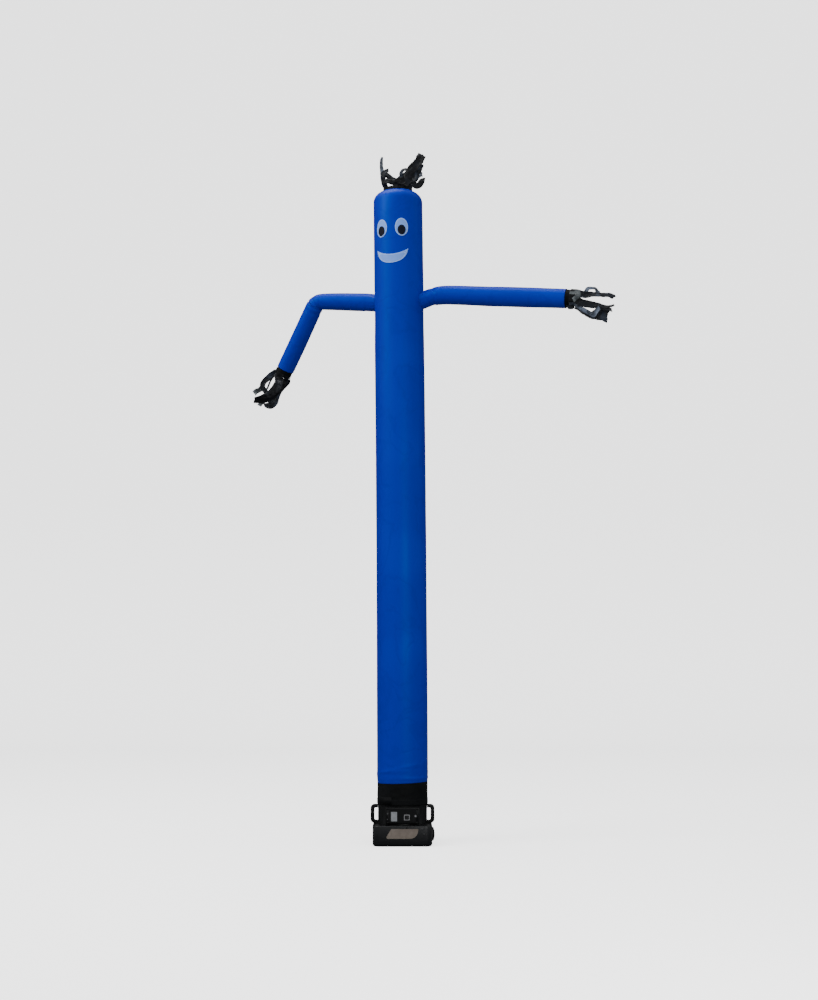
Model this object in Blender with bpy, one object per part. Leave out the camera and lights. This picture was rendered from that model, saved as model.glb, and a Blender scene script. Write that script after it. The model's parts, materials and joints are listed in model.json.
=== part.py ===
"""Inflated dancer on its blower: a cloth tube figure with ribbons, strapped over a low fan housing.

Metres, +Z up.  The origin is the middle of the blower's underside, +X is the figure's right-hand
side as seen from the front, and the front faces -Y.  Each piece that a maker would cut, sew on or
fit is its own object.  Sheets are hollow shells of cloth, open where the real ones are open.
"""

import math
from collections import namedtuple

import bmesh
import bpy
from mathutils import Vector

# ---- driving sizes ----------------------------------------------------------------------------
CLOTH = 0.002                 # thickness of every sheet of cloth
GAP = 0.0003                  # between pieces that touch
SEAM_LAP = 0.012              # how far one sewn cloth runs over the next

TUBE_R = 0.2285               # main tube, 18 inches across
TUBE_SIDES = 40
CROWN_Z = 5.878               # where the straight tube starts to round over into the crown
CROWN_RISE = 0.098
CROWN_CORE_R = 0.120
VENT_ANGLE = 82.0             # how far round the crown's shoulder the vent is cut, degrees
LEAN = 0.046                  # sideways lean of the crown, towards -X
LEAN_EARLY = 0.45             # share of the lean that grows evenly, the rest grows with height
FIGURE_TURN = 17.0            # the figure stands turned by this much on its blower, degrees
WAIST_Z, WAIST_SPREAD, WAIST_IN = 4.74, 0.12, 0.0022    # the tube is drawn in a little below the arms

HOUSING_W, HOUSING_D, HOUSING_H = 0.527, 0.510, 0.182
HOUSING_CORNER, HOUSING_FOOT, HOUSING_EDGE = 0.060, 0.026, 0.010    # roundings: upright, below, above
DRUM_R, DRUM_WALL = 0.220, 0.010
DRUM_TOP = 0.350
FLANGE_R, FLANGE_H = 0.236, 0.005
PANEL_W, PANEL_FRONT = 0.300, 0.236
PANEL_Z, PANEL_BACK, PANEL_EDGE = (0.196, 0.338), 0.10, 0.008
HANDLE_OUT, HANDLE_TOP, HANDLE_HALF_DEEP = 0.282, 0.345, 0.016
HANDLE_BAR, HANDLE_LUG = 0.029, 0.027       # thickness of a handle's upright bar and of its two lugs
HANDLE_CHAMFER, HANDLE_NICK = 0.020, 0.012  # cut off its outer corners and off its slot's corners

SLEEVE_R = TUBE_R - CLOTH - 2 * GAP
SLEEVE_Z = (DRUM_TOP + 0.002, 0.557)
SEAM_TILT = 0.008             # the sleeve's top seam sits this much high on +X and low on -X
COLLAR_R, COLLAR_TOP, COLLAR_EASE = SLEEVE_R - CLOTH - 2 * GAP, 0.430, 0.004
STRAP_Z = (0.360, 0.404)
TAIL_Z = (0.357, 0.424)
TAIL_SPAN = (-66.0, -24.0)    # degrees round the tube from the front

ARM_SIDES = 20
ARM_ROOT_Z = 4.945
CUFF_LENGTH, CUFF_DRAWN_IN = 0.070, 0.002
ELBOW_BEND_R, ELBOW_STEPS = 0.092, 6
ELBOW_GAP = 0.0007            # between the two halves of the left arm, along its centre line

FACE_CLOTH = 0.0012
FACE_LAYER = 0.0005           # a patch lies this far off the cloth below it
BLUNT = 0.03                  # how blunt the patches' side corners are
EYE_SPREAD, EYE_HALF_ANGLE, EYE_Z = 25.0, 15.5, (5.501, 5.670)
PUPIL_HALF_ANGLE, PUPIL_Z = 9.3, (5.513, 5.606)
MOUTH_HALF_ANGLE, MOUTH_CORNER_Z, MOUTH_TOP_Z, MOUTH_LOW_Z = 40.0, 5.388, 5.335, 5.251

BAND_R, BAND_SIDES, BAND_Z = 0.1338, 24, (5.966, 6.010)
RIBBON_STEPS = 2              # sections between two folds of a ribbon
RIBBON_SEWN = 0.029           # how much of a ribbon lies sewn on its hem
RIBBON_STRAIGHT = 0.009       # and how far it runs on straight from there

LABEL_THICK = 0.001           # thickness of the blower's labels
RATING_LABEL_X, RATING_LABEL_Z = (-0.100, -0.047), (0.219, 0.301)
FRONT_LABEL_X, FRONT_LABEL_Z, FRONT_LABEL_ROUND = (-0.142, 0.139), (0.071, 0.155), 0.042
SWITCH_X, SWITCH_Z = 0.039, 0.253
SWITCH_W, SWITCH_H, BEZEL_DEEP, BEZEL_EDGE = 0.050, 0.048, 0.008, 0.0015
ROCKER_W, ROCKER_H, ROCKER_TILT = 0.031, 0.029, 7.0
ROCKER_PROUD, ROCKER_DIP = 0.0062, 0.0042   # its ends and its middle, in front of its own axis
RESET_X, RESET_Z, RESET_R = 0.1155, 0.2645, 0.0068
SCREW_R, SCREW_HEIGHT = 0.006, 0.003
CLIP_X, CLIP_LOW, CLIP_DEEP = (0.035, 0.045), 0.157, 0.005
INTAKE_R, INTAKE_Z, INTAKE_DOME = 0.062, 0.086, 0.025
INTAKE_SLOTS, INTAKE_PITCH, INTAKE_SLOT = 5, 0.020, 0.007
GLAND_X, GLAND_Z, GLAND_R, GLAND_BORE_R, GLAND_LONG = 0.150, 0.060, 0.015, 0.0055, 0.024
WELD = 0.00005

# ---- tables -----------------------------------------------------------------------------------
# An arm's centre line.  reach: out from the tube's middle along the arms' line.  back: away from
# that line, to the rear.  rise: height.  radius: the arm's own.
Station = namedtuple("Station", "reach back rise radius")
RIGHT_ARM = [
    Station(0.205, 0.0, 4.933, 0.0785),
    Station(0.245, 0.0, 4.942, 0.0775),
    Station(0.300, 0.0, 4.956, 0.0785),
    Station(0.370, 0.0, 4.967, 0.0835),
    Station(0.450, 0.0, 4.969, 0.0862),
    Station(0.620, 0.0, 4.953, 0.0880),
    Station(0.850, 0.0, 4.928, 0.0895),
    Station(1.080, 0.0, 4.905, 0.0902),
    Station(1.330, 0.0, 4.880, 0.0890),
    Station(1.572, 0.0, 4.855, 0.0870),
]
LEFT_UPPER_ARM = [
    Station(0.205, 0.0, 4.942, 0.0785),
    Station(0.245, 0.0, 4.946, 0.0795),
    Station(0.320, 0.0, 4.955, 0.0825),
    Station(0.430, 0.0, 4.965, 0.0825),
    Station(0.560, 0.0, 4.978, 0.0810),
    Station(0.680, 0.0, 4.988, 0.0785),
]
LEFT_ELBOW = Station(0.816, 0.0, 4.996, 0.0780)
LEFT_FOREARM = [
    Station(0.929, 0.051, 4.818, 0.0820),
    Station(1.054, 0.107, 4.618, 0.0832),
    Station(1.193, 0.168, 4.405, 0.0825),
]

# A ribbon's folds.  out, back, up: metres from the middle of its hem's open end, along +X, +Y
# and +Z.  lie: how far the ribbon is turned from facing the front, in degrees.
Fold = namedtuple("Fold", "out back up lie")
# A ribbon.  facet: the side of the hem that it is sewn on, counted round the hem.  width: its
# own.  leaves: how far from the hem's open end it leaves the hem.
Ribbon = namedtuple("Ribbon", "name facet width leaves folds")

HAIR_RIBBONS = [
    Ribbon("tall_left", 12, 0.036, 0.000, [
        Fold(-0.135, 0.018, 0.075, 60), Fold(-0.141, 0.020, 0.124, 22), Fold(-0.148, 0.020, 0.172, 25),
        Fold(-0.152, 0.020, 0.215, 36), Fold(-0.153, 0.020, 0.257, 38), Fold(-0.150, 0.020, 0.293, 45),
        Fold(-0.143, 0.020, 0.328, 64)]),
    Ribbon("stub_left", 11, 0.030, 0.000, [
        Fold(-0.131, -0.040, 0.062, 55), Fold(-0.135, -0.055, 0.105, 35), Fold(-0.132, -0.060, 0.140, 25),
        Fold(-0.112, -0.060, 0.158, 20), Fold(-0.080, -0.060, 0.168, 18)]),
    Ribbon("sweep", 14, 0.046, 0.000, [
        Fold(-0.130, 0.075, 0.094, 35), Fold(-0.140, 0.066, 0.151, 25), Fold(-0.129, 0.060, 0.176, 18),
        Fold(-0.095, 0.055, 0.155, 15), Fold(-0.061, 0.050, 0.122, 5), Fold(-0.014, 0.050, 0.104, 0),
        Fold(0.039, 0.050, 0.114, 0)]),
    Ribbon("low_cross", 10, 0.038, 0.000, [
        Fold(-0.122, -0.080, 0.025, 20), Fold(-0.118, -0.086, 0.045, 20), Fold(-0.089, -0.086, 0.056, 15),
        Fold(-0.048, -0.084, 0.046, 0), Fold(-0.001, -0.080, 0.045, -10), Fold(0.051, -0.070, 0.059, -10),
        Fold(0.092, -0.060, 0.091, 0)]),
    Ribbon("front_lap", 6, 0.056, 0.000, [
        Fold(-0.010, -0.142, 0.024, 0), Fold(0.012, -0.145, 0.036, 0), Fold(0.046, -0.145, 0.038, 0),
        Fold(0.074, -0.143, 0.056, 8)]),
    Ribbon("tall_right", 4, 0.074, 0.000, [
        Fold(0.069, -0.114, 0.025, 5), Fold(0.092, -0.106, 0.088, 0), Fold(0.119, -0.102, 0.143, 0),
        Fold(0.145, -0.098, 0.182, 0), Fold(0.184, -0.094, 0.224, 2), Fold(0.212, -0.090, 0.270, 4),
        Fold(0.232, -0.085, 0.330, 36)]),
    Ribbon("jagged_right", 0, 0.062, 0.000, [
        Fold(0.132, -0.020, 0.062, 60), Fold(0.153, -0.026, 0.108, 25), Fold(0.176, -0.030, 0.163, 5),
        Fold(0.196, -0.035, 0.202, 5), Fold(0.219, -0.035, 0.244, 5)]),
    Ribbon("flap_right", 22, 0.048, 0.000, [
        Fold(0.129, 0.050, 0.078, 40), Fold(0.153, 0.050, 0.106, 5), Fold(0.176, 0.050, 0.142, 5),
        Fold(0.209, 0.050, 0.162, 25), Fold(0.240, 0.050, 0.162, 30)]),
    Ribbon("small_loop", 19, 0.040, 0.000, [
        Fold(0.068, 0.122, 0.103, 40), Fold(0.047, 0.115, 0.162, 50), Fold(0.035, 0.110, 0.193, 56),
        Fold(0.047, 0.105, 0.218, 50), Fold(0.070, 0.100, 0.227, 42), Fold(0.095, 0.095, 0.222, 42)]),
    Ribbon("low_loop", 2, 0.052, 0.000, [
        Fold(0.144, -0.070, 0.023, 12), Fold(0.173, -0.070, 0.015, 0), Fold(0.201, -0.072, 0.021, 0),
        Fold(0.218, -0.074, 0.045, 5), Fold(0.227, -0.075, 0.071, 20), Fold(0.233, -0.075, 0.093, 40)]),
    Ribbon("back_flap", 17, 0.056, 0.000, [
        Fold(-0.003, 0.148, 0.093, 10), Fold(0.020, 0.152, 0.143, 5), Fold(0.056, 0.150, 0.179, 5),
        Fold(0.097, 0.146, 0.196, 5)]),
]
RIGHT_HAND_RIBBONS = [
    Ribbon("upper", 1, 0.058, 0.000, [
        Fold(0.039, -0.042, 0.047, 22), Fold(0.076, -0.036, 0.027, 8), Fold(0.118, -0.032, 0.028, 22),
        Fold(0.163, -0.030, 0.033, 34), Fold(0.219, -0.030, 0.035, 40), Fold(0.272, -0.030, 0.035, 42),
        Fold(0.315, -0.030, 0.033, 40), Fold(0.342, -0.030, 0.018, 34), Fold(0.368, -0.030, 0.001, 44)]),
    Ribbon("upper_loop", 18, 0.032, 0.000, [
        Fold(0.049, 0.044, 0.064, 20), Fold(0.099, 0.044, 0.067, 10), Fold(0.119, 0.044, 0.084, 12),
        Fold(0.129, 0.044, 0.103, 18), Fold(0.145, 0.044, 0.110, 28), Fold(0.174, 0.044, 0.111, 34),
        Fold(0.199, 0.044, 0.109, 34), Fold(0.212, 0.044, 0.093, 30), Fold(0.220, 0.044, 0.075, 26),
        Fold(0.246, 0.044, 0.067, 28)]),
    Ribbon("middle", 5, 0.060, 0.000, [
        Fold(0.052, -0.094, -0.057, 0), Fold(0.099, -0.090, -0.067, 2), Fold(0.155, -0.086, -0.073, 12),
        Fold(0.205, -0.084, -0.075, 30), Fold(0.256, -0.082, -0.084, 48), Fold(0.312, -0.080, -0.086, 58),
        Fold(0.360, -0.078, -0.074, 64)]),
    Ribbon("middle_back", 14, 0.046, 0.000, [
        Fold(0.060, 0.050, -0.032, 40), Fold(0.121, 0.042, -0.046, 25), Fold(0.187, 0.036, -0.053, 15),
        Fold(0.243, 0.032, -0.066, 20), Fold(0.293, 0.030, -0.082, 32), Fold(0.351, 0.030, -0.098, 38)]),
    Ribbon("lower", 9, 0.092, 0.020, [
        Fold(0.006, -0.012, -0.091, 72), Fold(0.052, -0.010, -0.105, 48), Fold(0.100, -0.010, -0.126, 46),
        Fold(0.152, -0.010, -0.147, 40), Fold(0.208, -0.010, -0.143, 10), Fold(0.264, -0.010, -0.152, 0),
        Fold(0.317, -0.010, -0.182, 0)]),
    Ribbon("fold_back", 7, 0.036, 0.000, [
        Fold(0.025, -0.082, -0.088, 22), Fold(0.059, -0.092, -0.111, 12), Fold(0.103, -0.100, -0.137, 12),
        Fold(0.140, -0.106, -0.163, 10), Fold(0.163, -0.110, -0.173, 10), Fold(0.177, -0.114, -0.154, 15),
        Fold(0.191, -0.116, -0.130, 15), Fold(0.220, -0.118, -0.108, 20)]),
    Ribbon("knot", 3, 0.034, 0.000, [
        Fold(0.018, -0.084, 0.042, 10), Fold(0.029, -0.102, 0.023, 20), Fold(0.022, -0.122, -0.007, 28),
        Fold(0.002, -0.132, -0.026, 38), Fold(-0.023, -0.134, -0.052, 46)]),
]
LEFT_HAND_RIBBONS = [
    Ribbon("outer", 0, 0.044, 0.020, [
        Fold(-0.083, -0.006, 0.032, 60), Fold(-0.125, -0.002, -0.008, 12), Fold(-0.170, 0.000, -0.052, 0),
        Fold(-0.190, 0.000, -0.089, 10), Fold(-0.187, 0.000, -0.122, 12), Fold(-0.166, 0.000, -0.151, 8),
        Fold(-0.142, 0.000, -0.177, 0)]),
    Ribbon("strand", 2, 0.016, 0.000, [
        Fold(-0.082, -0.062, -0.025, 10), Fold(-0.105, -0.066, -0.059, 5), Fold(-0.122, -0.070, -0.099, 0),
        Fold(-0.135, -0.072, -0.134, 0), Fold(-0.149, -0.072, -0.154, 0)]),
    Ribbon("centre", 5, 0.080, 0.000, [
        Fold(-0.017, -0.112, -0.077, -20), Fold(-0.037, -0.112, -0.125, -8),
        Fold(-0.071, -0.110, -0.178, 10), Fold(-0.119, -0.108, -0.225, 26),
        Fold(-0.180, -0.106, -0.251, 40), Fold(-0.272, -0.106, -0.257, 68)]),
    Ribbon("centre_back", 8, 0.062, 0.000, [
        Fold(0.022, -0.042, -0.083, 10), Fold(-0.012, -0.040, -0.124, 5), Fold(-0.054, -0.040, -0.166, 5),
        Fold(-0.105, -0.040, -0.213, 10), Fold(-0.151, -0.040, -0.249, 20)]),
    Ribbon("low_loop", 11, 0.058, 0.000, [
        Fold(0.030, 0.046, -0.065, 40), Fold(-0.015, 0.034, -0.114, 25), Fold(-0.047, 0.028, -0.163, 8),
        Fold(-0.064, 0.028, -0.215, 0), Fold(-0.077, 0.028, -0.257, 0), Fold(-0.109, 0.028, -0.286, 0),
        Fold(-0.143, 0.028, -0.282, 12), Fold(-0.155, 0.028, -0.254, 35)]),
    Ribbon("flag", 16, 0.044, 0.000, [
        Fold(-0.094, 0.080, 0.021, 30), Fold(-0.147, 0.082, -0.014, 12), Fold(-0.187, 0.082, -0.052, 12),
        Fold(-0.204, 0.082, -0.097, 22), Fold(-0.229, 0.082, -0.126, 28), Fold(-0.259, 0.082, -0.140, 15),
        Fold(-0.284, 0.082, -0.167, 0)]),
    Ribbon("tips", 13, 0.036, 0.000, [
        Fold(0.007, 0.113, -0.037, 15), Fold(-0.048, 0.119, -0.091, 5), Fold(-0.098, 0.118, -0.147, 0),
        Fold(-0.156, 0.120, -0.201, 0), Fold(-0.205, 0.120, -0.243, 0), Fold(-0.239, 0.120, -0.280, 0)]),
]

# A screw's head: where it is on a flat front, and how far in front of the middle that front is.
Screw = namedtuple("Screw", "name x z face")
SCREWS = [
    Screw("panel_screw_upper", -0.132, 0.283, PANEL_FRONT),
    Screw("panel_screw_lower", -0.132, 0.235, PANEL_FRONT),
    Screw("housing_screw_upper", 0.172, 0.158, HOUSING_D / 2),
    Screw("housing_screw_lower", 0.190, 0.112, HOUSING_D / 2),
]

# ---- finishes: colour, roughness, metallic ------------------------------------------------------
FINISHES = {
    "blue_nylon": ((0.004, 0.075, 0.40), 0.45, 0.0),
    "black_nylon": ((0.012, 0.012, 0.014), 0.60, 0.0),
    "black_ribbon": ((0.018, 0.020, 0.026), 0.32, 0.0),
    "white_cloth": ((0.68, 0.76, 0.88), 0.55, 0.0),
    "pupil_cloth": ((0.012, 0.013, 0.022), 0.55, 0.0),
    "black_plastic": ((0.014, 0.014, 0.015), 0.38, 0.0),
    "label_grey": ((0.36, 0.38, 0.40), 0.45, 0.0),
    "label_taupe": ((0.15, 0.12, 0.10), 0.50, 0.0),
    "bezel_grey": ((0.42, 0.42, 0.42), 0.40, 0.0),
    "screw_steel": ((0.50, 0.50, 0.50), 0.35, 1.0),
}


def clear_scene():
    """Remove whatever the file holds."""
    for item in list(bpy.data.objects):
        bpy.data.objects.remove(item, do_unlink=True)


def finish(name):
    """The material of that name, made on first use."""
    material = bpy.data.materials.get(name)
    if material is None:
        colour, roughness, metallic = FINISHES[name]
        material = bpy.data.materials.new(name)
        material.use_nodes = True
        shader = material.node_tree.nodes["Principled BSDF"]
        shader.inputs["Base Color"].default_value = (*colour, 1.0)
        shader.inputs["Roughness"].default_value = roughness
        shader.inputs["Metallic"].default_value = metallic
    return material


def add_object(name, bm, material, smooth=True):
    """Turn a bmesh into a scene object with its outward normals and its finish."""
    bmesh.ops.recalc_face_normals(bm, faces=bm.faces[:])
    mesh = bpy.data.meshes.new(name)
    bm.to_mesh(mesh)
    bm.free()
    if smooth:
        mesh.shade_smooth()
        mesh.set_sharp_from_angle(angle=math.radians(35))
    mesh.materials.append(finish(material))
    item = bpy.data.objects.new(name, mesh)
    bpy.context.scene.collection.objects.link(item)
    return item


def add_cutter(name, bm):
    """A hidden solid that other pieces are cut by."""
    cutter = add_object(name, bm, "black_plastic", smooth=False)
    cutter.hide_render = True
    cutter.display_type = "WIRE"
    return cutter


def cut(item, cutter):
    """Take the cutter's shape out of an object."""
    modifier = item.modifiers.new("cut_" + cutter.name, "BOOLEAN")
    modifier.operation = "DIFFERENCE"
    modifier.object = cutter


def thicken(item, thickness):
    """Give a single skin its thickness, inwards."""
    modifier = item.modifiers.new("cloth", "SOLIDIFY")
    modifier.thickness = thickness
    modifier.offset = -1.0
    modifier.use_even_offset = True


def loft(bm, rings):
    """Join rings of points into one open skin, and return the rings of vertices."""
    rows = [[bm.verts.new(point) for point in ring] for ring in rings]
    sides = len(rows[0])
    for lower, upper in zip(rows, rows[1:]):
        for k in range(sides):
            n = (k + 1) % sides
            bm.faces.new((lower[k], lower[n], upper[n], upper[k]))
    return rows


def cap(bm, ring, flip):
    """Close one end of a loft."""
    bm.faces.new(ring[::-1] if flip else ring)


def close_ends(bm, rows):
    """Close both ends of a loft."""
    cap(bm, rows[0], flip=True)
    cap(bm, rows[-1], flip=False)


def circle(centre, across, along, radius, sides):
    """Points on a circle spanned by two unit vectors."""
    angles = [2 * math.pi * k / sides for k in range(sides)]
    return [centre + radius * (math.cos(a) * across + math.sin(a) * along) for a in angles]


# ---- main tube --------------------------------------------------------------------------------
def tube_middle(z):
    """Where the leaning tube's centre line is at a height."""
    share = max(0.0, (z - SLEEVE_Z[1]) / (CROWN_Z - SLEEVE_Z[1]))
    return Vector((-LEAN * share * (LEAN_EARLY + (1 - LEAN_EARLY) * share), 0.0, z))


def tube_radius(z):
    """The tube is drawn in a little just below the arm seams."""
    return TUBE_R - WAIST_IN * math.exp(-((z - WAIST_Z) / WAIST_SPREAD) ** 2)


def level_ring(middle, radius, sides, tilt=0.0):
    """A level circle whose first point is at +X, lifted by tilt there and dropped at -X."""
    points = circle(middle, Vector((1, 0, 0)), Vector((0, 1, 0)), radius, sides)
    return [p + Vector((0, 0, tilt * (p.x - middle.x) / radius)) for p in points]


def crown_point(angle):
    """Radius and height on the crown's shoulder, 0 degrees at the wall and 90 on top."""
    turn = math.radians(angle)
    radius = CROWN_CORE_R + (TUBE_R - CROWN_CORE_R) * math.cos(turn)
    return radius, CROWN_Z + CROWN_RISE * math.sin(turn)


def make_tube(arm_cutters):
    """The blue tube from the sleeve's seam to the vent on top, with a hole for each arm."""
    bm = bmesh.new()
    low = SLEEVE_Z[1] - SEAM_LAP
    heights = [low, 1.6, 2.7, 3.8, 4.5, WAIST_Z, 4.98, 5.4, CROWN_Z]
    rings = [level_ring(tube_middle(z), tube_radius(z), TUBE_SIDES, SEAM_TILT if z == low else 0.0)
             for z in heights]
    for angle in (18, 36, 52, 67, VENT_ANGLE):
        radius, z = crown_point(angle)
        rings.append(level_ring(tube_middle(z), radius, TUBE_SIDES))
    loft(bm, rings)
    tube = add_object("body_tube", bm, "blue_nylon")
    thicken(tube, CLOTH)
    for cutter in arm_cutters:
        cut(tube, cutter)


def make_ring_sheet(name, material, bottom, top, radius, sides=TUBE_SIDES, tilt=0.0):
    """A band of cloth round the tube, hollow and open at both ends."""
    bm = bmesh.new()
    loft(bm, [level_ring(tube_middle(bottom), radius, sides),
              level_ring(tube_middle(top), radius, sides, tilt)])
    thicken(add_object(name, bm, material), CLOTH)


def make_patch(name, material, facing, half_angle, edges, lift, thickness):
    """A thin patch lying round the tube.

    facing: the middle's angle from the front, in degrees.  edges(share): its low and high edge
    at a share from -1 to 1 of the half angle.  lift: its back face above the tube's radius.
    """
    bm = bmesh.new()
    steps = max(8, round(2 * half_angle / 3.0))
    sections = []
    for k in range(steps + 1):
        share = -1.0 + 2.0 * k / steps
        angle = math.radians(facing + half_angle * share)
        out = Vector((math.sin(angle), -math.cos(angle), 0.0))
        low, high = edges(share)
        inner, outer = TUBE_R + lift, TUBE_R + lift + thickness
        sections.append([tube_middle(low) + out * inner, tube_middle(low) + out * outer,
                         tube_middle(high) + out * outer, tube_middle(high) + out * inner])
    rows = loft(bm, sections)
    close_ends(bm, rows)
    add_object(name, bm, material)


def oval_edges(low, high):
    """Edges of an upright oval, blunt at its two sides."""
    middle, half = (low + high) / 2, (high - low) / 2

    def edges(share):
        reach = half * math.sqrt(max(1.0 - share * share, BLUNT))
        return middle - reach, middle + reach
    return edges


def smile_edges(share):
    """Edges of a smile: a shallow upper curve, and a depth that ends in blunt corners."""
    high = MOUTH_TOP_Z + (MOUTH_CORNER_Z - MOUTH_TOP_Z) * share ** 2
    depth = (MOUTH_TOP_Z - MOUTH_LOW_Z) * math.sqrt(max(1.0 - abs(share) ** 3.5, BLUNT))
    return high - depth, high


def make_face():
    """Two eyes with their pupils and a smile, sewn flat on the tube."""
    for side, name in ((-1, "left"), (1, "right")):
        facing = -FIGURE_TURN + side * EYE_SPREAD
        make_patch("eye_" + name, "white_cloth", facing, EYE_HALF_ANGLE, oval_edges(*EYE_Z),
                   FACE_LAYER, FACE_CLOTH)
        make_patch("pupil_" + name, "pupil_cloth", facing, PUPIL_HALF_ANGLE, oval_edges(*PUPIL_Z),
                   2 * FACE_LAYER + FACE_CLOTH, FACE_CLOTH)
    make_patch("mouth", "white_cloth", -FIGURE_TURN, MOUTH_HALF_ANGLE, smile_edges, FACE_LAYER, FACE_CLOTH)


# ---- arms ---------------------------------------------------------------------------------------
def arm_point(station, side):
    """A station's place in the scene.  side is 1 for the right arm and -1 for the left."""
    turn = math.radians(FIGURE_TURN)
    line = Vector((side * math.cos(turn), -side * math.sin(turn), 0.0))
    rear = Vector((math.sin(turn), math.cos(turn), 0.0))
    root = tube_middle(ARM_ROOT_Z)
    middle = Vector((root.x, root.y, 0.0)) + station.reach * line + station.back * rear
    return middle + Vector((0.0, 0.0, station.rise))


def elbow_path(before, corner, after):
    """Points and radii of a round bend that replaces the sharp corner between two stretches."""
    into = (corner - before).normalized()
    away = (after - corner).normalized()
    bend = into.angle(away)
    side = (away - into * away.dot(into)).normalized()
    hub = corner - into * ELBOW_BEND_R * math.tan(bend / 2) + side * ELBOW_BEND_R
    path = []
    for k in range(ELBOW_STEPS + 1):
        share = k / ELBOW_STEPS
        out = into * math.sin(share * bend) - side * math.cos(share * bend)
        radius = LEFT_ELBOW.radius - 0.002 + 0.005 * share - 0.002 * math.sin(math.pi * share)
        path.append((hub + ELBOW_BEND_R * out, radius))
    return path


def left_arm_path():
    """The left arm runs out, folds at its elbow and hangs down and back."""
    upper = [(arm_point(s, -1), s.radius) for s in LEFT_UPPER_ARM]
    lower = [(arm_point(s, -1), s.radius) for s in LEFT_FOREARM]
    return upper + elbow_path(upper[-1][0], arm_point(LEFT_ELBOW, -1), lower[0][0]) + lower


def right_arm_path():
    """The right arm is held straight out, a little drawn in at the shoulder."""
    return [(arm_point(s, 1), s.radius) for s in RIGHT_ARM]


def directions(points):
    """The path's unit direction at each of its points."""
    last = len(points) - 1
    return [(points[min(k + 1, last)] - points[max(k - 1, 0)]).normalized() for k in range(len(points))]


def ring_axes(direction, side):
    """Two unit vectors across a limb: towards its upper, outer side, and towards the front."""
    front = Vector((-math.sin(math.radians(FIGURE_TURN)), -math.cos(math.radians(FIGURE_TURN)), 0.0))
    front = (front - direction * front.dot(direction)).normalized()
    return side * front.cross(direction), front


def limb_rings(path, side, shrink=0.0):
    """Rings of points along a limb's centre line."""
    points = [p for p, _ in path]
    rings = []
    for (point, radius), direction in zip(path, directions(points)):
        outer, front = ring_axes(direction, side)
        rings.append(circle(point, outer, front, radius - shrink, ARM_SIDES))
    return rings


def make_limb(name, rings):
    """A blue tube of cloth, open at both ends."""
    bm = bmesh.new()
    loft(bm, rings)
    limb = add_object(name, bm, "blue_nylon")
    thicken(limb, CLOTH)
    return limb


def make_right_arm(path, tube_core):
    """The right arm, its root shaped to the inside of the tube's wall."""
    cut(make_limb("right_arm", limb_rings(path, 1)), tube_core)


def make_left_arm(path, tube_core):
    """The left arm's upper half and forearm, which meet on a mitre in the middle of the elbow."""
    points = [p for p, _ in path]
    rings = limb_rings(path, -1)
    mitre = len(LEFT_UPPER_ARM) + ELBOW_STEPS // 2
    apart = directions(points)[mitre] * ELBOW_GAP / 2
    upper_end = [p - apart for p in rings[mitre]]
    forearm_start = [p + apart for p in rings[mitre]]
    cut(make_limb("left_upper_arm", rings[:mitre] + [upper_end]), tube_core)
    make_limb("left_forearm", [forearm_start] + rings[mitre + 1:])


def make_arm_cutter(name, path, side):
    """The hole for an arm, a hair wider than the arm."""
    bm = bmesh.new()
    first, second = path[0][0], path[1][0]
    inward = (first - second).normalized()
    stretch = [(first + inward * 0.05, path[0][1]), *path[:3]]
    rows = loft(bm, limb_rings(stretch, side, shrink=-2 * GAP))
    close_ends(bm, rows)
    return add_cutter(name, bm)


def make_tube_core():
    """The space inside the tube at the arms, which trims the arms' roots."""
    bm = bmesh.new()
    radius = TUBE_R - CLOTH - 0.004
    rows = loft(bm, [level_ring(tube_middle(z), radius, TUBE_SIDES) for z in (4.6, 5.3)])
    close_ends(bm, rows)
    return add_cutter("tube_core", bm)


def cuff_path(path):
    """The black cuff starts inside the arm's end and runs on past it, drawn in a little."""
    end, radius = path[-1]
    along = (end - path[-2][0]).normalized()
    inner = radius - CLOTH - 3 * GAP
    return [(end - along * SEAM_LAP, inner), (end + along * CUFF_LENGTH, inner - CUFF_DRAWN_IN)]


def make_cuff(name, path, side):
    """A black cuff, open at its end where the air blows out between the ribbons."""
    bm = bmesh.new()
    loft(bm, limb_rings(path, side))
    thicken(add_object(name, bm, "black_nylon"), CLOTH)


# ---- ribbons -------------------------------------------------------------------------------------
def facet_anchor(path, across, front, sides, facet, distance):
    """A point a ribbon's middle line passes, flat on one facet of its hem, and the facet's normal.

    distance: how far back from the hem's open end.
    """
    (start, start_r), (end, end_r) = path
    length = (end - start).length
    share = 1.0 - distance / length
    angle = 2 * math.pi * (facet + 0.5) / sides
    normal = math.cos(angle) * across + math.sin(angle) * front
    radius = (start_r + (end_r - start_r) * share) * math.cos(math.pi / sides)
    lift = radius + GAP + CLOTH / 2
    return start + (end - start) * share + normal * lift, normal


def spline(points, before):
    """A smooth curve through the points.  before: a point ahead of the first, which aims its start."""
    ends = [before, *points, points[-1] * 2 - points[-2]]
    curve = []
    for k in range(len(points) - 1):
        a, b, c, d = ends[k:k + 4]
        for step in range(RIBBON_STEPS):
            t = step / RIBBON_STEPS
            curve.append(0.5 * (2 * b + (c - a) * t + (2 * a - 5 * b + 4 * c - d) * t * t
                                + (3 * b - a - 3 * c + d) * t ** 3))
    return curve + [points[-1]]


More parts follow.
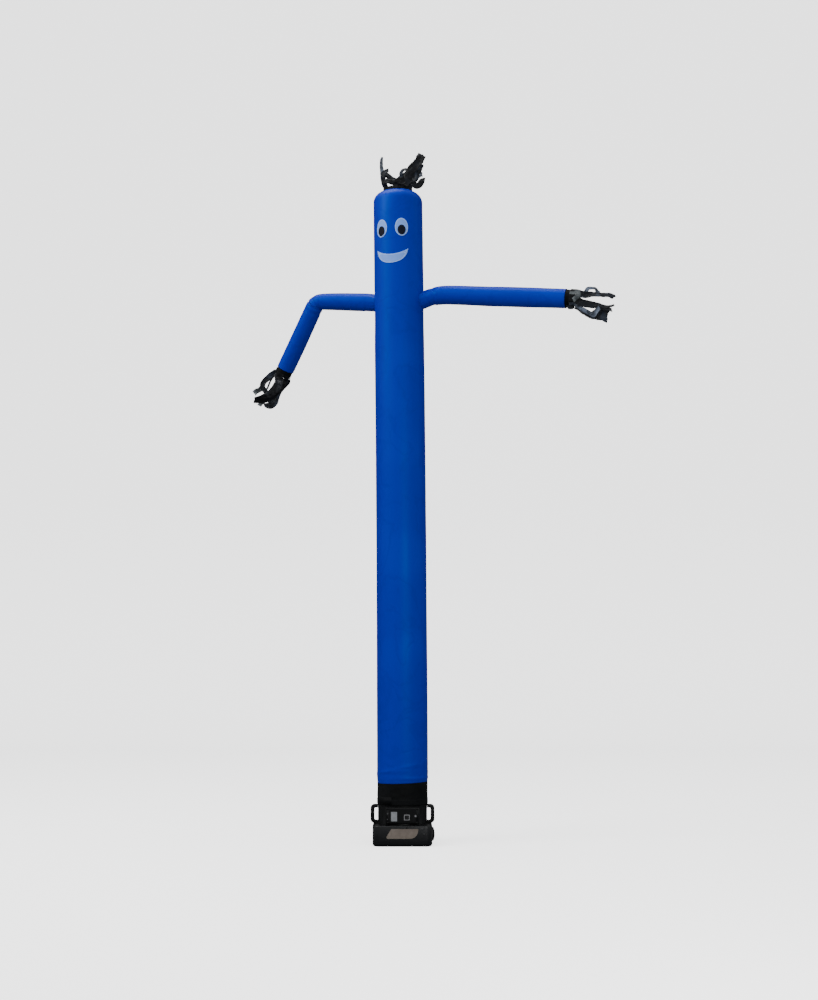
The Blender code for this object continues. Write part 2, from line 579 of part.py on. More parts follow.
def ribbon_line(ribbon, path, across, front, sides):
    """A ribbon's middle line and the unit vectors across its width.

    It lies straight along its hem, leaves the hem's edge straight on, and then follows its folds.
    """
    sewn, normal = facet_anchor(path, across, front, sides, ribbon.facet, ribbon.leaves + RIBBON_SEWN)
    leaving, _ = facet_anchor(path, across, front, sides, ribbon.facet, ribbon.leaves - RIBBON_STRAIGHT)
    axis = (leaving - sewn).normalized()
    points = [leaving] + [path[1][0] + Vector((f.out, f.back, f.up)) for f in ribbon.folds]
    widths = [axis.cross(normal).normalized()]
    for fold, direction in zip(ribbon.folds, directions(points)[1:]):
        level = direction.cross(Vector((0, 1, 0))).normalized()
        lie = math.radians(fold.lie)
        width = math.cos(lie) * level + math.sin(lie) * Vector((0, 1, 0))
        widths.append(width if width.dot(widths[-1]) >= 0 else -width)
    line = spline(points, before=points[1] - 2 * axis * (points[1] - leaving).length)
    turned = spline(widths, before=widths[0])
    return [sewn] + line, [widths[0]] + turned


def make_ribbon(prefix, ribbon, path, across, front, sides):
    """One ribbon, a thin strip along its folds."""
    bm = bmesh.new()
    line, widths = ribbon_line(ribbon, path, across, front, sides)
    runs = directions(line)
    runs[1] = runs[0]
    sections = []
    for point, width, direction in zip(line, widths, runs):
        width = (width - direction * width.dot(direction)).normalized()
        normal = direction.cross(width)
        half, thin = width * ribbon.width / 2, normal * CLOTH / 2
        sections.append([point - half - thin, point + half - thin, point + half + thin, point - half + thin])
    rows = loft(bm, sections)
    close_ends(bm, rows)
    # both faces are split along the same diagonal, so the strip keeps its thickness where it twists
    for row, following in zip(rows, rows[1:]):
        straight = (row[0].co - following[1].co).length < (row[1].co - following[0].co).length
        for left, right in ((0, 1), (3, 2)):
            pair = [row[left], following[right]] if straight else [row[right], following[left]]
            bmesh.ops.connect_verts(bm, verts=pair)
    add_object(prefix + "_" + ribbon.name, bm, "black_ribbon")


def make_hand(prefix, ribbons, arm_path, side):
    """A cuff on an arm's end with its ribbons."""
    path = cuff_path(arm_path)
    make_cuff(prefix + "_cuff", path, side)
    across, front = ring_axes((path[1][0] - path[0][0]).normalized(), side)
    for ribbon in ribbons:
        make_ribbon(prefix, ribbon, path, across, front, ARM_SIDES)


def make_hair():
    """The black band round the vent with the ribbons that blow up out of it."""
    bottom, top = (tube_middle(z) for z in BAND_Z)
    make_ring_sheet("crown_band", "black_nylon", *BAND_Z, BAND_R, sides=BAND_SIDES)
    path = [(bottom, BAND_R), (top, BAND_R)]
    for ribbon in HAIR_RIBBONS:
        make_ribbon("hair", ribbon, path, Vector((1, 0, 0)), Vector((0, -1, 0)), BAND_SIDES)


# ---- blower ----------------------------------------------------------------------------------------
def bevel_edges(bm, edges, width, segments):
    """Round a set of edges."""
    bmesh.ops.bevel(bm, geom=edges, offset=width, segments=segments, profile=0.5, affect="EDGES",
                    material=-1, offset_type="OFFSET")


def box(low, high):
    """A bmesh box between two corners."""
    bm = bmesh.new()
    bmesh.ops.create_cube(bm, size=1.0)
    for vert in bm.verts:
        vert.co = Vector((high[a] if vert.co[a] > 0 else low[a] for a in range(3)))
    return bm


def ring_solid(rings):
    """A bmesh ring, such as a washer, lofted through rings of points and back to the first."""
    bm = bmesh.new()
    loft(bm, rings + [rings[0]])
    bmesh.ops.remove_doubles(bm, verts=bm.verts[:], dist=WELD)
    return bm


def closed_solid(rings):
    """A bmesh solid lofted through rings of points, its two ends closed."""
    bm = bmesh.new()
    close_ends(bm, loft(bm, rings))
    return bm


def rings_about_y(x, z, profile, sides):
    """Rings of points about a front-to-back line, from an outline of (radius, y)."""
    return [circle(Vector((x, y, z)), Vector((1, 0, 0)), Vector((0, 0, 1)), r, sides) for r, y in profile]


def rings_about_z(profile):
    """Rings of points about the drum's own line, from an outline of (radius, z)."""
    return [level_ring(Vector((0, 0, z)), r, TUBE_SIDES) for r, z in profile]


def make_housing():
    """The low rounded housing that the fan stands in, flat underneath."""
    bm = box((-HOUSING_W / 2, -HOUSING_D / 2, 0.0), (HOUSING_W / 2, HOUSING_D / 2, HOUSING_H))
    upright = [e for e in bm.edges if abs(e.verts[0].co.z - e.verts[1].co.z) > HOUSING_H / 2]
    bevel_edges(bm, upright, HOUSING_CORNER, 5)
    below = [e for e in bm.edges if max(v.co.z for v in e.verts) < WELD]
    bevel_edges(bm, below, HOUSING_FOOT, 3)
    above = [e for e in bm.edges if min(v.co.z for v in e.verts) > HOUSING_H - WELD]
    bevel_edges(bm, above, HOUSING_EDGE, 2)
    add_object("lower_housing", bm, "black_plastic")


def make_drum():
    """The outlet drum on the housing, with its flange below and the collar that the sleeve fits over."""
    bottom, inner = HOUSING_H + GAP, DRUM_R - DRUM_WALL
    flange_top = bottom + FLANGE_H
    profile = [(inner, bottom), (FLANGE_R, bottom), (FLANGE_R, flange_top), (DRUM_R, flange_top + 0.002),
               (DRUM_R, DRUM_TOP), (COLLAR_R, DRUM_TOP + COLLAR_EASE), (COLLAR_R, COLLAR_TOP - COLLAR_EASE),
               (COLLAR_R - COLLAR_EASE, COLLAR_TOP), (inner, COLLAR_TOP)]
    add_object("outlet_drum", ring_solid(rings_about_z(profile)), "black_plastic")


def make_drum_space():
    """The space that the drum and its flange take, with a gap, which trims what is fitted on them."""
    flange_top = HOUSING_H + 3 * GAP + FLANGE_H
    outline = [(FLANGE_R, HOUSING_H / 2), (FLANGE_R, flange_top), (DRUM_R, flange_top + 0.002),
               (DRUM_R, COLLAR_TOP)]
    return add_cutter("drum_space", closed_solid(rings_about_z([(r + 2 * GAP, z) for r, z in outline])))


def make_panel(drum_space):
    """The flat-fronted control box on the drum."""
    bm = box((-PANEL_W / 2, -PANEL_FRONT, PANEL_Z[0]), (PANEL_W / 2, -PANEL_BACK, PANEL_Z[1]))
    front = [e for e in bm.edges if max(v.co.y for v in e.verts) < WELD - PANEL_FRONT]
    bevel_edges(bm, front, PANEL_EDGE, 2)
    cut(add_object("control_panel", bm, "black_plastic"), drum_space)


def extruded(outline, y_front, y_back):
    """A bmesh plate from an outline of (x, z) points."""
    return closed_solid([[Vector((x, y, z)) for x, z in outline] for y in (y_front, y_back)])


def make_handle(name, side, drum_space):
    """A lifting handle: an upright bar whose two lugs join it to the drum, standing on the housing."""
    wall, bar = DRUM_R - DRUM_WALL, HANDLE_OUT - HANDLE_BAR
    low, high = HOUSING_H + GAP, HANDLE_TOP
    slot_low, slot_high = low + HANDLE_LUG, high - HANDLE_LUG
    outline = [(wall, low), (HANDLE_OUT - HANDLE_CHAMFER, low), (HANDLE_OUT, low + HANDLE_CHAMFER),
               (HANDLE_OUT, high - HANDLE_CHAMFER), (HANDLE_OUT - HANDLE_CHAMFER, high), (wall, high),
               (wall, slot_high), (bar - HANDLE_NICK, slot_high), (bar, slot_high - HANDLE_NICK),
               (bar, slot_low + HANDLE_NICK), (bar - HANDLE_NICK, slot_low), (wall, slot_low)]
    bm = extruded([(side * x, z) for x, z in outline], -HANDLE_HALF_DEEP, HANDLE_HALF_DEEP)
    cut(add_object(name, bm, "black_plastic"), drum_space)


def make_label(name, material, outline, face):
    """A thin flat label on a front that lies at y = -face."""
    back = face + GAP
    add_object(name, extruded(outline, -back - LABEL_THICK, -back), material, smooth=False)


def rounded_corner(x, z, radius, start, steps=4):
    """Points on a quarter circle about (x, z), from an angle in degrees onwards."""
    angles = [math.radians(start + 90.0 * k / steps) for k in range(steps + 1)]
    return [(x + radius * math.cos(a), z + radius * math.sin(a)) for a in angles]


def make_labels():
    """Two bare labels: a small upright one on the panel, and a wide slant-ended one on the housing."""
    (left, right), (low, high) = RATING_LABEL_X, RATING_LABEL_Z
    make_label("rating_label", "label_grey", [(left, low), (right, low), (right, high), (left, high)],
               PANEL_FRONT)
    (left, right), (low, high), turn = FRONT_LABEL_X, FRONT_LABEL_Z, FRONT_LABEL_ROUND
    wide = [(left, low + 0.013), (left + 0.010, low), *rounded_corner(right - turn, low + turn, turn, 270),
            (right, high), (left + 0.044, high)]
    make_label("front_label", "label_taupe", wide, HOUSING_D / 2)


def make_bezel():
    """The switch's square frame."""
    back, front = PANEL_FRONT + GAP, PANEL_FRONT + GAP + BEZEL_DEEP
    outer_w, outer_h = SWITCH_W / 2, SWITCH_H / 2
    inner_w, inner_h = ROCKER_W / 2 + 2 * GAP, ROCKER_H / 2 + 3 * GAP
    outline = [(outer_w, outer_h, back), (outer_w, outer_h, front - BEZEL_EDGE),
               (outer_w - BEZEL_EDGE, outer_h - BEZEL_EDGE, front), (inner_w, inner_h, front),
               (inner_w, inner_h, back)]
    corners = ((-1, -1), (1, -1), (1, 1), (-1, 1))
    rings = [[Vector((SWITCH_X + sx * w, -y, SWITCH_Z + sz * h)) for sx, sz in corners]
             for w, h, y in outline]
    add_object("switch_bezel", ring_solid(rings), "bezel_grey", smooth=False)


def make_rocker():
    """The rocker, hinged level across its bezel and lying in one of its two places.

    Its section is a shallow vee in front and a round back about its own axis.
    """
    pivot = Vector((SWITCH_X, -PANEL_FRONT - GAP - BEZEL_DEEP / 2 - 0.001, SWITCH_Z))
    half, tilt = ROCKER_H / 2 - 0.0004, math.radians(ROCKER_TILT)
    section = [(half, -ROCKER_PROUD), (0.0, -ROCKER_DIP), (-half, -ROCKER_PROUD), (-half, 0.0012),
               (-half * 0.6, 0.0030), (half * 0.6, 0.0030), (half, 0.0012)]
    turned = [(z * math.cos(tilt) - y * math.sin(tilt), z * math.sin(tilt) + y * math.cos(tilt))
              for z, y in section]
    rings = [[pivot + Vector((side * ROCKER_W / 2, y, z)) for z, y in turned] for side in (-1, 1)]
    add_object("switch_rocker", closed_solid(rings), "black_plastic", smooth=False)


def make_reset():
    """The round reset button in its collar."""
    back = -PANEL_FRONT - GAP
    bore, outer = RESET_R + 0.0005, RESET_R + 0.0057
    collar = [(bore, back), (outer, back), (outer, back - 0.006), (outer - 0.0015, back - 0.008),
              (bore, back - 0.008)]
    rings = rings_about_y(RESET_X, RESET_Z, collar, 24)
    add_object("reset_collar", ring_solid(rings), "bezel_grey")
    button = [(RESET_R, back - 0.0048), (RESET_R, back - 0.0122), (RESET_R - 0.001, back - 0.0130)]
    add_object("reset_button", closed_solid(rings_about_y(RESET_X, RESET_Z, button, 24)), "bezel_grey")


def make_screws():
    """Two screws beside the panel's label and two on the housing's front."""
    for screw in SCREWS:
        back = -screw.face - GAP
        head = [(SCREW_R, back), (SCREW_R, back - SCREW_HEIGHT / 2), (SCREW_R * 0.6, back - SCREW_HEIGHT)]
        add_object(screw.name, closed_solid(rings_about_y(screw.x, screw.z, head, 12)), "screw_steel")


def make_clip():
    """The small tab on the front that keys the drum's flange to the housing."""
    back = -HOUSING_D / 2 - GAP
    bm = box((CLIP_X[0], back - CLIP_DEEP, CLIP_LOW), (CLIP_X[1], back, HOUSING_H - HOUSING_EDGE - 0.001))
    front = [e for e in bm.edges if max(v.co.y for v in e.verts) < back - CLIP_DEEP / 2]
    bevel_edges(bm, front, 0.002, 2)
    add_object("front_clip", bm, "bezel_grey")


def make_intake():
    """The domed guard over the air intake on the housing's right side, slotted across."""
    wall = HOUSING_W / 2 + GAP
    outline = [(1.0, 0.0), (1.0, 0.24), (0.92, 0.48), (0.70, 0.76), (0.40, 0.94), (0.12, 1.0)]
    rings = [circle(Vector((wall + rise * INTAKE_DOME, 0.0, INTAKE_Z)), Vector((0, 1, 0)), Vector((0, 0, 1)),
                    share * INTAKE_R, 24) for share, rise in outline]
    guard = add_object("intake_guard", closed_solid(rings), "black_plastic")
    for k in range(INTAKE_SLOTS):
        rise = (k - (INTAKE_SLOTS - 1) / 2) * INTAKE_PITCH
        reach = 0.80 * math.sqrt(INTAKE_R ** 2 - rise ** 2)
        slot = box((wall + 0.004, -reach, INTAKE_Z + rise - INTAKE_SLOT / 2),
                   (wall + 2 * INTAKE_DOME, reach, INTAKE_Z + rise + INTAKE_SLOT / 2))
        cut(guard, add_cutter("intake_slot_%d" % k, slot))


def make_gland():
    """The gland at the back of the housing where a mains lead goes in, with nothing in it."""
    wall = HOUSING_D / 2 + GAP
    profile = [(GLAND_BORE_R, wall), (GLAND_R, wall), (GLAND_R, wall + GLAND_LONG * 0.25),
               (GLAND_R * 0.8, wall + GLAND_LONG * 0.375), (GLAND_R * 0.7, wall + GLAND_LONG),
               (GLAND_BORE_R, wall + GLAND_LONG)]
    add_object("cord_gland", ring_solid(rings_about_y(GLAND_X, GLAND_Z, profile, 16)), "black_plastic")


def make_sleeve():
    """The black sleeve, its strap and the strap's lapped tail."""
    low, high = SLEEVE_Z
    make_ring_sheet("base_sleeve", "black_nylon", low, high + SEAM_LAP, SLEEVE_R, tilt=SEAM_TILT)
    strap_r = SLEEVE_R + CLOTH + GAP
    make_ring_sheet("sleeve_strap", "black_nylon", *STRAP_Z, strap_r)
    facing, half = sum(TAIL_SPAN) / 2, (TAIL_SPAN[1] - TAIL_SPAN[0]) / 2
    make_patch("strap_tail", "black_nylon", facing, half, lambda share: TAIL_Z, strap_r - TUBE_R + FACE_LAYER,
               CLOTH)


def main():
    """Build every piece."""
    clear_scene()
    right, left = right_arm_path(), left_arm_path()
    core = make_tube_core()
    make_tube([make_arm_cutter("right_arm_hole", right, 1), make_arm_cutter("left_arm_hole", left, -1)])
    make_sleeve()
    make_face()
    make_right_arm(right, core)
    make_left_arm(left, core)
    make_hair()
    make_hand("right_hand", RIGHT_HAND_RIBBONS, right, 1)
    make_hand("left_hand", LEFT_HAND_RIBBONS, left, -1)
    make_housing()
    make_drum()
    drum_space = make_drum_space()
    make_panel(drum_space)
    make_handle("right_handle", 1, drum_space)
    make_handle("left_handle", -1, drum_space)
    make_labels()
    make_bezel()
    make_rocker()
    make_reset()
    make_screws()
    make_clip()
    make_intake()
    make_gland()


main()
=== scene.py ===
"""Looks of an inflatable dancer: a blue cloth tube figure that stands strapped on its low blower.

Metres, +Z up, front towards -Y.  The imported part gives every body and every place.  Each class below
makes one sub-assembly of the figure or of the blower and dresses it.
"""

import json
import logging
from bisect import bisect_right
from dataclasses import dataclass, field, replace
from enum import Enum
from math import atan2, cos, exp, pi, radians, sin, sqrt, tan, tau
from typing import Callable, NamedTuple, Sequence

import bmesh
import bpy
from mathutils import Matrix, Vector, noise


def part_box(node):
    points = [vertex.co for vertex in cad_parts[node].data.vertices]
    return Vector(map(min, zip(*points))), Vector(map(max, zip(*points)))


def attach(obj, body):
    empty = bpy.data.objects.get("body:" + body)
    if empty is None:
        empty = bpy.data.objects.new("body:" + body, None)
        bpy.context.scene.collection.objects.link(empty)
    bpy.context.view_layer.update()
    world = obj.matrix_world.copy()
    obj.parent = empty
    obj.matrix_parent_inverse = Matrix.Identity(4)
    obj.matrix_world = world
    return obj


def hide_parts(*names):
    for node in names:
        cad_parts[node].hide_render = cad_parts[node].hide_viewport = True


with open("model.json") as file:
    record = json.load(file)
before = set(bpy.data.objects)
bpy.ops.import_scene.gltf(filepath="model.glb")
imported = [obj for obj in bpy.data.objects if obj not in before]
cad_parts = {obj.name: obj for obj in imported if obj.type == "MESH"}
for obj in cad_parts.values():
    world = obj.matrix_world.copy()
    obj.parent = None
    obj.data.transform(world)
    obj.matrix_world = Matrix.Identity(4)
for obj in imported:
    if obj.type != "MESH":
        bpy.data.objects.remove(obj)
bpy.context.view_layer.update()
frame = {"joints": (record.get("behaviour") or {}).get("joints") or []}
LOG = logging.getLogger("dancer")

Colour = tuple[float, float, float]
Piece = bpy.types.Object
Socket = bpy.types.NodeSocket
Shape, Vert, Edge = bmesh.types.BMesh, bmesh.types.BMVert, bmesh.types.BMEdge
Profile = list[tuple[float, float]]

UV_NAME = "cloth"                       # a cloth's own map, in metres round and along it
AXIS_X, AXIS_Y, AXIS_Z = Vector((1, 0, 0)), Vector((0, 1, 0)), Vector((0, 0, 1))
X, Y, Z = range(3)                      # a place's three measures
CLOSE = 0.0001                          # places nearer than this count as one
QUARTER = radians(90)              # a quarter turn


# ---- names --------------------------------------------------------------------------------------
class Body(Enum):
    """The part's moving bodies."""

    DANCER = "dancer"
    ROCKER = "rocker"
    BUTTON = "button"


class Slot(Enum):
    """The record's material slots."""

    BLUE = "blue_nylon"
    BLACK = "black_nylon"
    RIBBON = "black_ribbon"
    WHITE = "white_cloth"
    PUPIL = "pupil_cloth"
    PLASTIC = "black_plastic"
    GREY_LABEL = "label_grey"
    TAUPE_LABEL = "label_taupe"
    BEZEL = "bezel_grey"
    STEEL = "screw_steel"


class Runs(Enum):
    """Which way a row of stitches runs on a cloth's map."""

    ROUND = "round"
    ALONG = "along"


class Held(Enum):
    """How a sheet is held."""

    STRETCHED = "stretched"
    GATHERED = "gathered"
    HUNG = "hung"


# ---- tables -------------------------------------------------------------------------------------
class Station(NamedTuple):
    """A point of an arm's centre line: out from the tube, back from the arms' line, height, radius."""

    reach: float
    back: float
    rise: float
    radius: float


class Fold(NamedTuple):
    """A fold of a ribbon, from the middle of its hem's open end, and its turn from facing the front."""

    out: float
    back: float
    up: float
    lie: float


class Strip(NamedTuple):
    """A ribbon: the hem's facet that it is sewn on, its width, where it leaves the hem, its folds."""

    name: str
    facet: int
    width: float
    leaves: float
    folds: list[Fold]


RIGHT_ARM = [
    Station(0.205, 0.0, 4.933, 0.0785),
    Station(0.245, 0.0, 4.942, 0.0775),
    Station(0.300, 0.0, 4.956, 0.0785),
    Station(0.370, 0.0, 4.967, 0.0835),
    Station(0.450, 0.0, 4.969, 0.0862),
    Station(0.620, 0.0, 4.953, 0.0880),
    Station(0.850, 0.0, 4.928, 0.0895),
    Station(1.080, 0.0, 4.905, 0.0902),
    Station(1.330, 0.0, 4.880, 0.0890),
    Station(1.572, 0.0, 4.855, 0.0870),
]
LEFT_UPPER_ARM = [
    Station(0.205, 0.0, 4.942, 0.0785),
    Station(0.245, 0.0, 4.946, 0.0795),
    Station(0.320, 0.0, 4.955, 0.0825),
    Station(0.430, 0.0, 4.965, 0.0825),
    Station(0.560, 0.0, 4.978, 0.0810),
    Station(0.680, 0.0, 4.988, 0.0785),
]
LEFT_ELBOW = Station(0.816, 0.0, 4.996, 0.0780)
LEFT_FOREARM = [
    Station(0.929, 0.051, 4.818, 0.0820),
    Station(1.054, 0.107, 4.618, 0.0832),
    Station(1.193, 0.168, 4.405, 0.0825),
]
HAIR_RIBBONS = [
    Strip("tall_left", 12, 0.036, 0.000, [
        Fold(-0.135, 0.018, 0.075, 60), Fold(-0.141, 0.020, 0.124, 22), Fold(-0.148, 0.020, 0.172, 25),
        Fold(-0.152, 0.020, 0.215, 36), Fold(-0.153, 0.020, 0.257, 38), Fold(-0.150, 0.020, 0.293, 45),
        Fold(-0.143, 0.020, 0.328, 64)]),
    Strip("stub_left", 11, 0.030, 0.000, [
        Fold(-0.131, -0.040, 0.062, 55), Fold(-0.135, -0.055, 0.105, 35), Fold(-0.132, -0.060, 0.140, 25),
        Fold(-0.112, -0.060, 0.158, 20), Fold(-0.080, -0.060, 0.168, 18)]),
    Strip("sweep", 14, 0.046, 0.000, [
        Fold(-0.130, 0.075, 0.094, 35), Fold(-0.140, 0.066, 0.151, 25), Fold(-0.129, 0.060, 0.176, 18),
        Fold(-0.095, 0.055, 0.155, 15), Fold(-0.061, 0.050, 0.122, 5), Fold(-0.014, 0.050, 0.104, 0),
        Fold(0.039, 0.050, 0.114, 0)]),
    Strip("low_cross", 10, 0.038, 0.000, [
        Fold(-0.122, -0.080, 0.025, 20), Fold(-0.118, -0.086, 0.045, 20), Fold(-0.089, -0.086, 0.056, 15),
        Fold(-0.048, -0.084, 0.046, 0), Fold(-0.001, -0.080, 0.045, -10), Fold(0.051, -0.070, 0.059, -10),
        Fold(0.092, -0.060, 0.091, 0)]),
    Strip("front_lap", 6, 0.056, 0.000, [
        Fold(-0.010, -0.142, 0.024, 0), Fold(0.012, -0.145, 0.036, 0), Fold(0.046, -0.145, 0.038, 0),
        Fold(0.074, -0.143, 0.056, 8)]),
    Strip("tall_right", 4, 0.074, 0.000, [
        Fold(0.069, -0.114, 0.025, 5), Fold(0.092, -0.106, 0.088, 0), Fold(0.119, -0.102, 0.143, 0),
        Fold(0.145, -0.098, 0.182, 0), Fold(0.184, -0.094, 0.224, 2), Fold(0.212, -0.090, 0.270, 4),
        Fold(0.232, -0.085, 0.330, 36)]),
    Strip("jagged_right", 0, 0.062, 0.000, [
        Fold(0.132, -0.020, 0.062, 60), Fold(0.153, -0.026, 0.108, 25), Fold(0.176, -0.030, 0.163, 5),
        Fold(0.196, -0.035, 0.202, 5), Fold(0.219, -0.035, 0.244, 5)]),
    Strip("flap_right", 22, 0.048, 0.000, [
        Fold(0.129, 0.050, 0.078, 40), Fold(0.153, 0.050, 0.106, 5), Fold(0.176, 0.050, 0.142, 5),
        Fold(0.209, 0.050, 0.162, 25), Fold(0.240, 0.050, 0.162, 30)]),
    Strip("small_loop", 19, 0.040, 0.000, [
        Fold(0.068, 0.122, 0.103, 40), Fold(0.047, 0.115, 0.162, 50), Fold(0.035, 0.110, 0.193, 56),
        Fold(0.047, 0.105, 0.218, 50), Fold(0.070, 0.100, 0.227, 42), Fold(0.095, 0.095, 0.222, 42)]),
    Strip("low_loop", 2, 0.052, 0.000, [
        Fold(0.144, -0.070, 0.023, 12), Fold(0.173, -0.070, 0.015, 0), Fold(0.201, -0.072, 0.021, 0),
        Fold(0.218, -0.074, 0.045, 5), Fold(0.227, -0.075, 0.071, 20), Fold(0.233, -0.075, 0.093, 40)]),
    Strip("back_flap", 17, 0.056, 0.000, [
        Fold(-0.003, 0.148, 0.093, 10), Fold(0.020, 0.152, 0.143, 5), Fold(0.056, 0.150, 0.179, 5),
        Fold(0.097, 0.146, 0.196, 5)]),
]
RIGHT_HAND_RIBBONS = [
    Strip("upper", 1, 0.058, 0.000, [
        Fold(0.039, -0.042, 0.047, 22), Fold(0.076, -0.036, 0.027, 8), Fold(0.118, -0.032, 0.028, 22),
        Fold(0.163, -0.030, 0.033, 34), Fold(0.219, -0.030, 0.035, 40), Fold(0.272, -0.030, 0.035, 42),
        Fold(0.315, -0.030, 0.033, 40), Fold(0.342, -0.030, 0.018, 34), Fold(0.368, -0.030, 0.001, 44)]),
    Strip("upper_loop", 18, 0.032, 0.000, [
        Fold(0.049, 0.044, 0.064, 20), Fold(0.099, 0.044, 0.067, 10), Fold(0.119, 0.044, 0.084, 12),
        Fold(0.129, 0.044, 0.103, 18), Fold(0.145, 0.044, 0.110, 28), Fold(0.174, 0.044, 0.111, 34),
        Fold(0.199, 0.044, 0.109, 34), Fold(0.212, 0.044, 0.093, 30), Fold(0.220, 0.044, 0.075, 26),
        Fold(0.246, 0.044, 0.067, 28)]),
    Strip("middle", 5, 0.060, 0.000, [
        Fold(0.052, -0.094, -0.057, 0), Fold(0.099, -0.090, -0.067, 2), Fold(0.155, -0.086, -0.073, 12),
        Fold(0.205, -0.084, -0.075, 30), Fold(0.256, -0.082, -0.084, 48), Fold(0.312, -0.080, -0.086, 58),
        Fold(0.360, -0.078, -0.074, 64)]),
    Strip("middle_back", 14, 0.046, 0.000, [
        Fold(0.060, 0.050, -0.032, 40), Fold(0.121, 0.042, -0.046, 25), Fold(0.187, 0.036, -0.053, 15),
        Fold(0.243, 0.032, -0.066, 20), Fold(0.293, 0.030, -0.082, 32), Fold(0.351, 0.030, -0.098, 38)]),
    Strip("lower", 9, 0.092, 0.020, [
        Fold(0.006, -0.012, -0.091, 72), Fold(0.052, -0.010, -0.105, 48), Fold(0.100, -0.010, -0.126, 46),
        Fold(0.152, -0.010, -0.147, 40), Fold(0.208, -0.010, -0.143, 10), Fold(0.264, -0.010, -0.152, 0),
        Fold(0.317, -0.010, -0.182, 0)]),
    Strip("fold_back", 7, 0.036, 0.000, [
        Fold(0.025, -0.082, -0.088, 22), Fold(0.059, -0.092, -0.111, 12), Fold(0.103, -0.100, -0.137, 12),
        Fold(0.140, -0.106, -0.163, 10), Fold(0.163, -0.110, -0.173, 10), Fold(0.177, -0.114, -0.154, 15),
        Fold(0.191, -0.116, -0.130, 15), Fold(0.220, -0.118, -0.108, 20)]),
    Strip("knot", 3, 0.034, 0.000, [
        Fold(0.018, -0.084, 0.042, 10), Fold(0.029, -0.102, 0.023, 20), Fold(0.022, -0.122, -0.007, 28),
        Fold(0.002, -0.132, -0.026, 38), Fold(-0.023, -0.134, -0.052, 46)]),
]
LEFT_HAND_RIBBONS = [
    Strip("outer", 0, 0.044, 0.020, [
        Fold(-0.083, -0.006, 0.032, 60), Fold(-0.125, -0.002, -0.008, 12), Fold(-0.170, 0.000, -0.052, 0),
        Fold(-0.190, 0.000, -0.089, 10), Fold(-0.187, 0.000, -0.122, 12), Fold(-0.166, 0.000, -0.151, 8),
        Fold(-0.142, 0.000, -0.177, 0)]),
    Strip("strand", 2, 0.016, 0.000, [
        Fold(-0.082, -0.062, -0.025, 10), Fold(-0.105, -0.066, -0.059, 5), Fold(-0.122, -0.070, -0.099, 0),
        Fold(-0.135, -0.072, -0.134, 0), Fold(-0.149, -0.072, -0.154, 0)]),
    Strip("centre", 5, 0.080, 0.000, [
        Fold(-0.017, -0.112, -0.077, -20), Fold(-0.037, -0.112, -0.125, -8),
        Fold(-0.071, -0.110, -0.178, 10), Fold(-0.119, -0.108, -0.225, 26),
        Fold(-0.180, -0.106, -0.251, 40), Fold(-0.272, -0.106, -0.257, 68)]),
    Strip("centre_back", 8, 0.062, 0.000, [
        Fold(0.022, -0.042, -0.083, 10), Fold(-0.012, -0.040, -0.124, 5), Fold(-0.054, -0.040, -0.166, 5),
        Fold(-0.105, -0.040, -0.213, 10), Fold(-0.151, -0.040, -0.249, 20)]),
    Strip("low_loop", 11, 0.058, 0.000, [
        Fold(0.030, 0.046, -0.065, 40), Fold(-0.015, 0.034, -0.114, 25), Fold(-0.047, 0.028, -0.163, 8),
        Fold(-0.064, 0.028, -0.215, 0), Fold(-0.077, 0.028, -0.257, 0), Fold(-0.109, 0.028, -0.286, 0),
        Fold(-0.143, 0.028, -0.282, 12), Fold(-0.155, 0.028, -0.254, 35)]),
    Strip("flag", 16, 0.044, 0.000, [
        Fold(-0.094, 0.080, 0.021, 30), Fold(-0.147, 0.082, -0.014, 12), Fold(-0.187, 0.082, -0.052, 12),
        Fold(-0.204, 0.082, -0.097, 22), Fold(-0.229, 0.082, -0.126, 28), Fold(-0.259, 0.082, -0.140, 15),
        Fold(-0.284, 0.082, -0.167, 0)]),
    Strip("tips", 13, 0.036, 0.000, [
        Fold(0.007, 0.113, -0.037, 15), Fold(-0.048, 0.119, -0.091, 5), Fold(-0.098, 0.118, -0.147, 0),
        Fold(-0.156, 0.120, -0.201, 0), Fold(-0.205, 0.120, -0.243, 0), Fold(-0.239, 0.120, -0.280, 0)]),
]


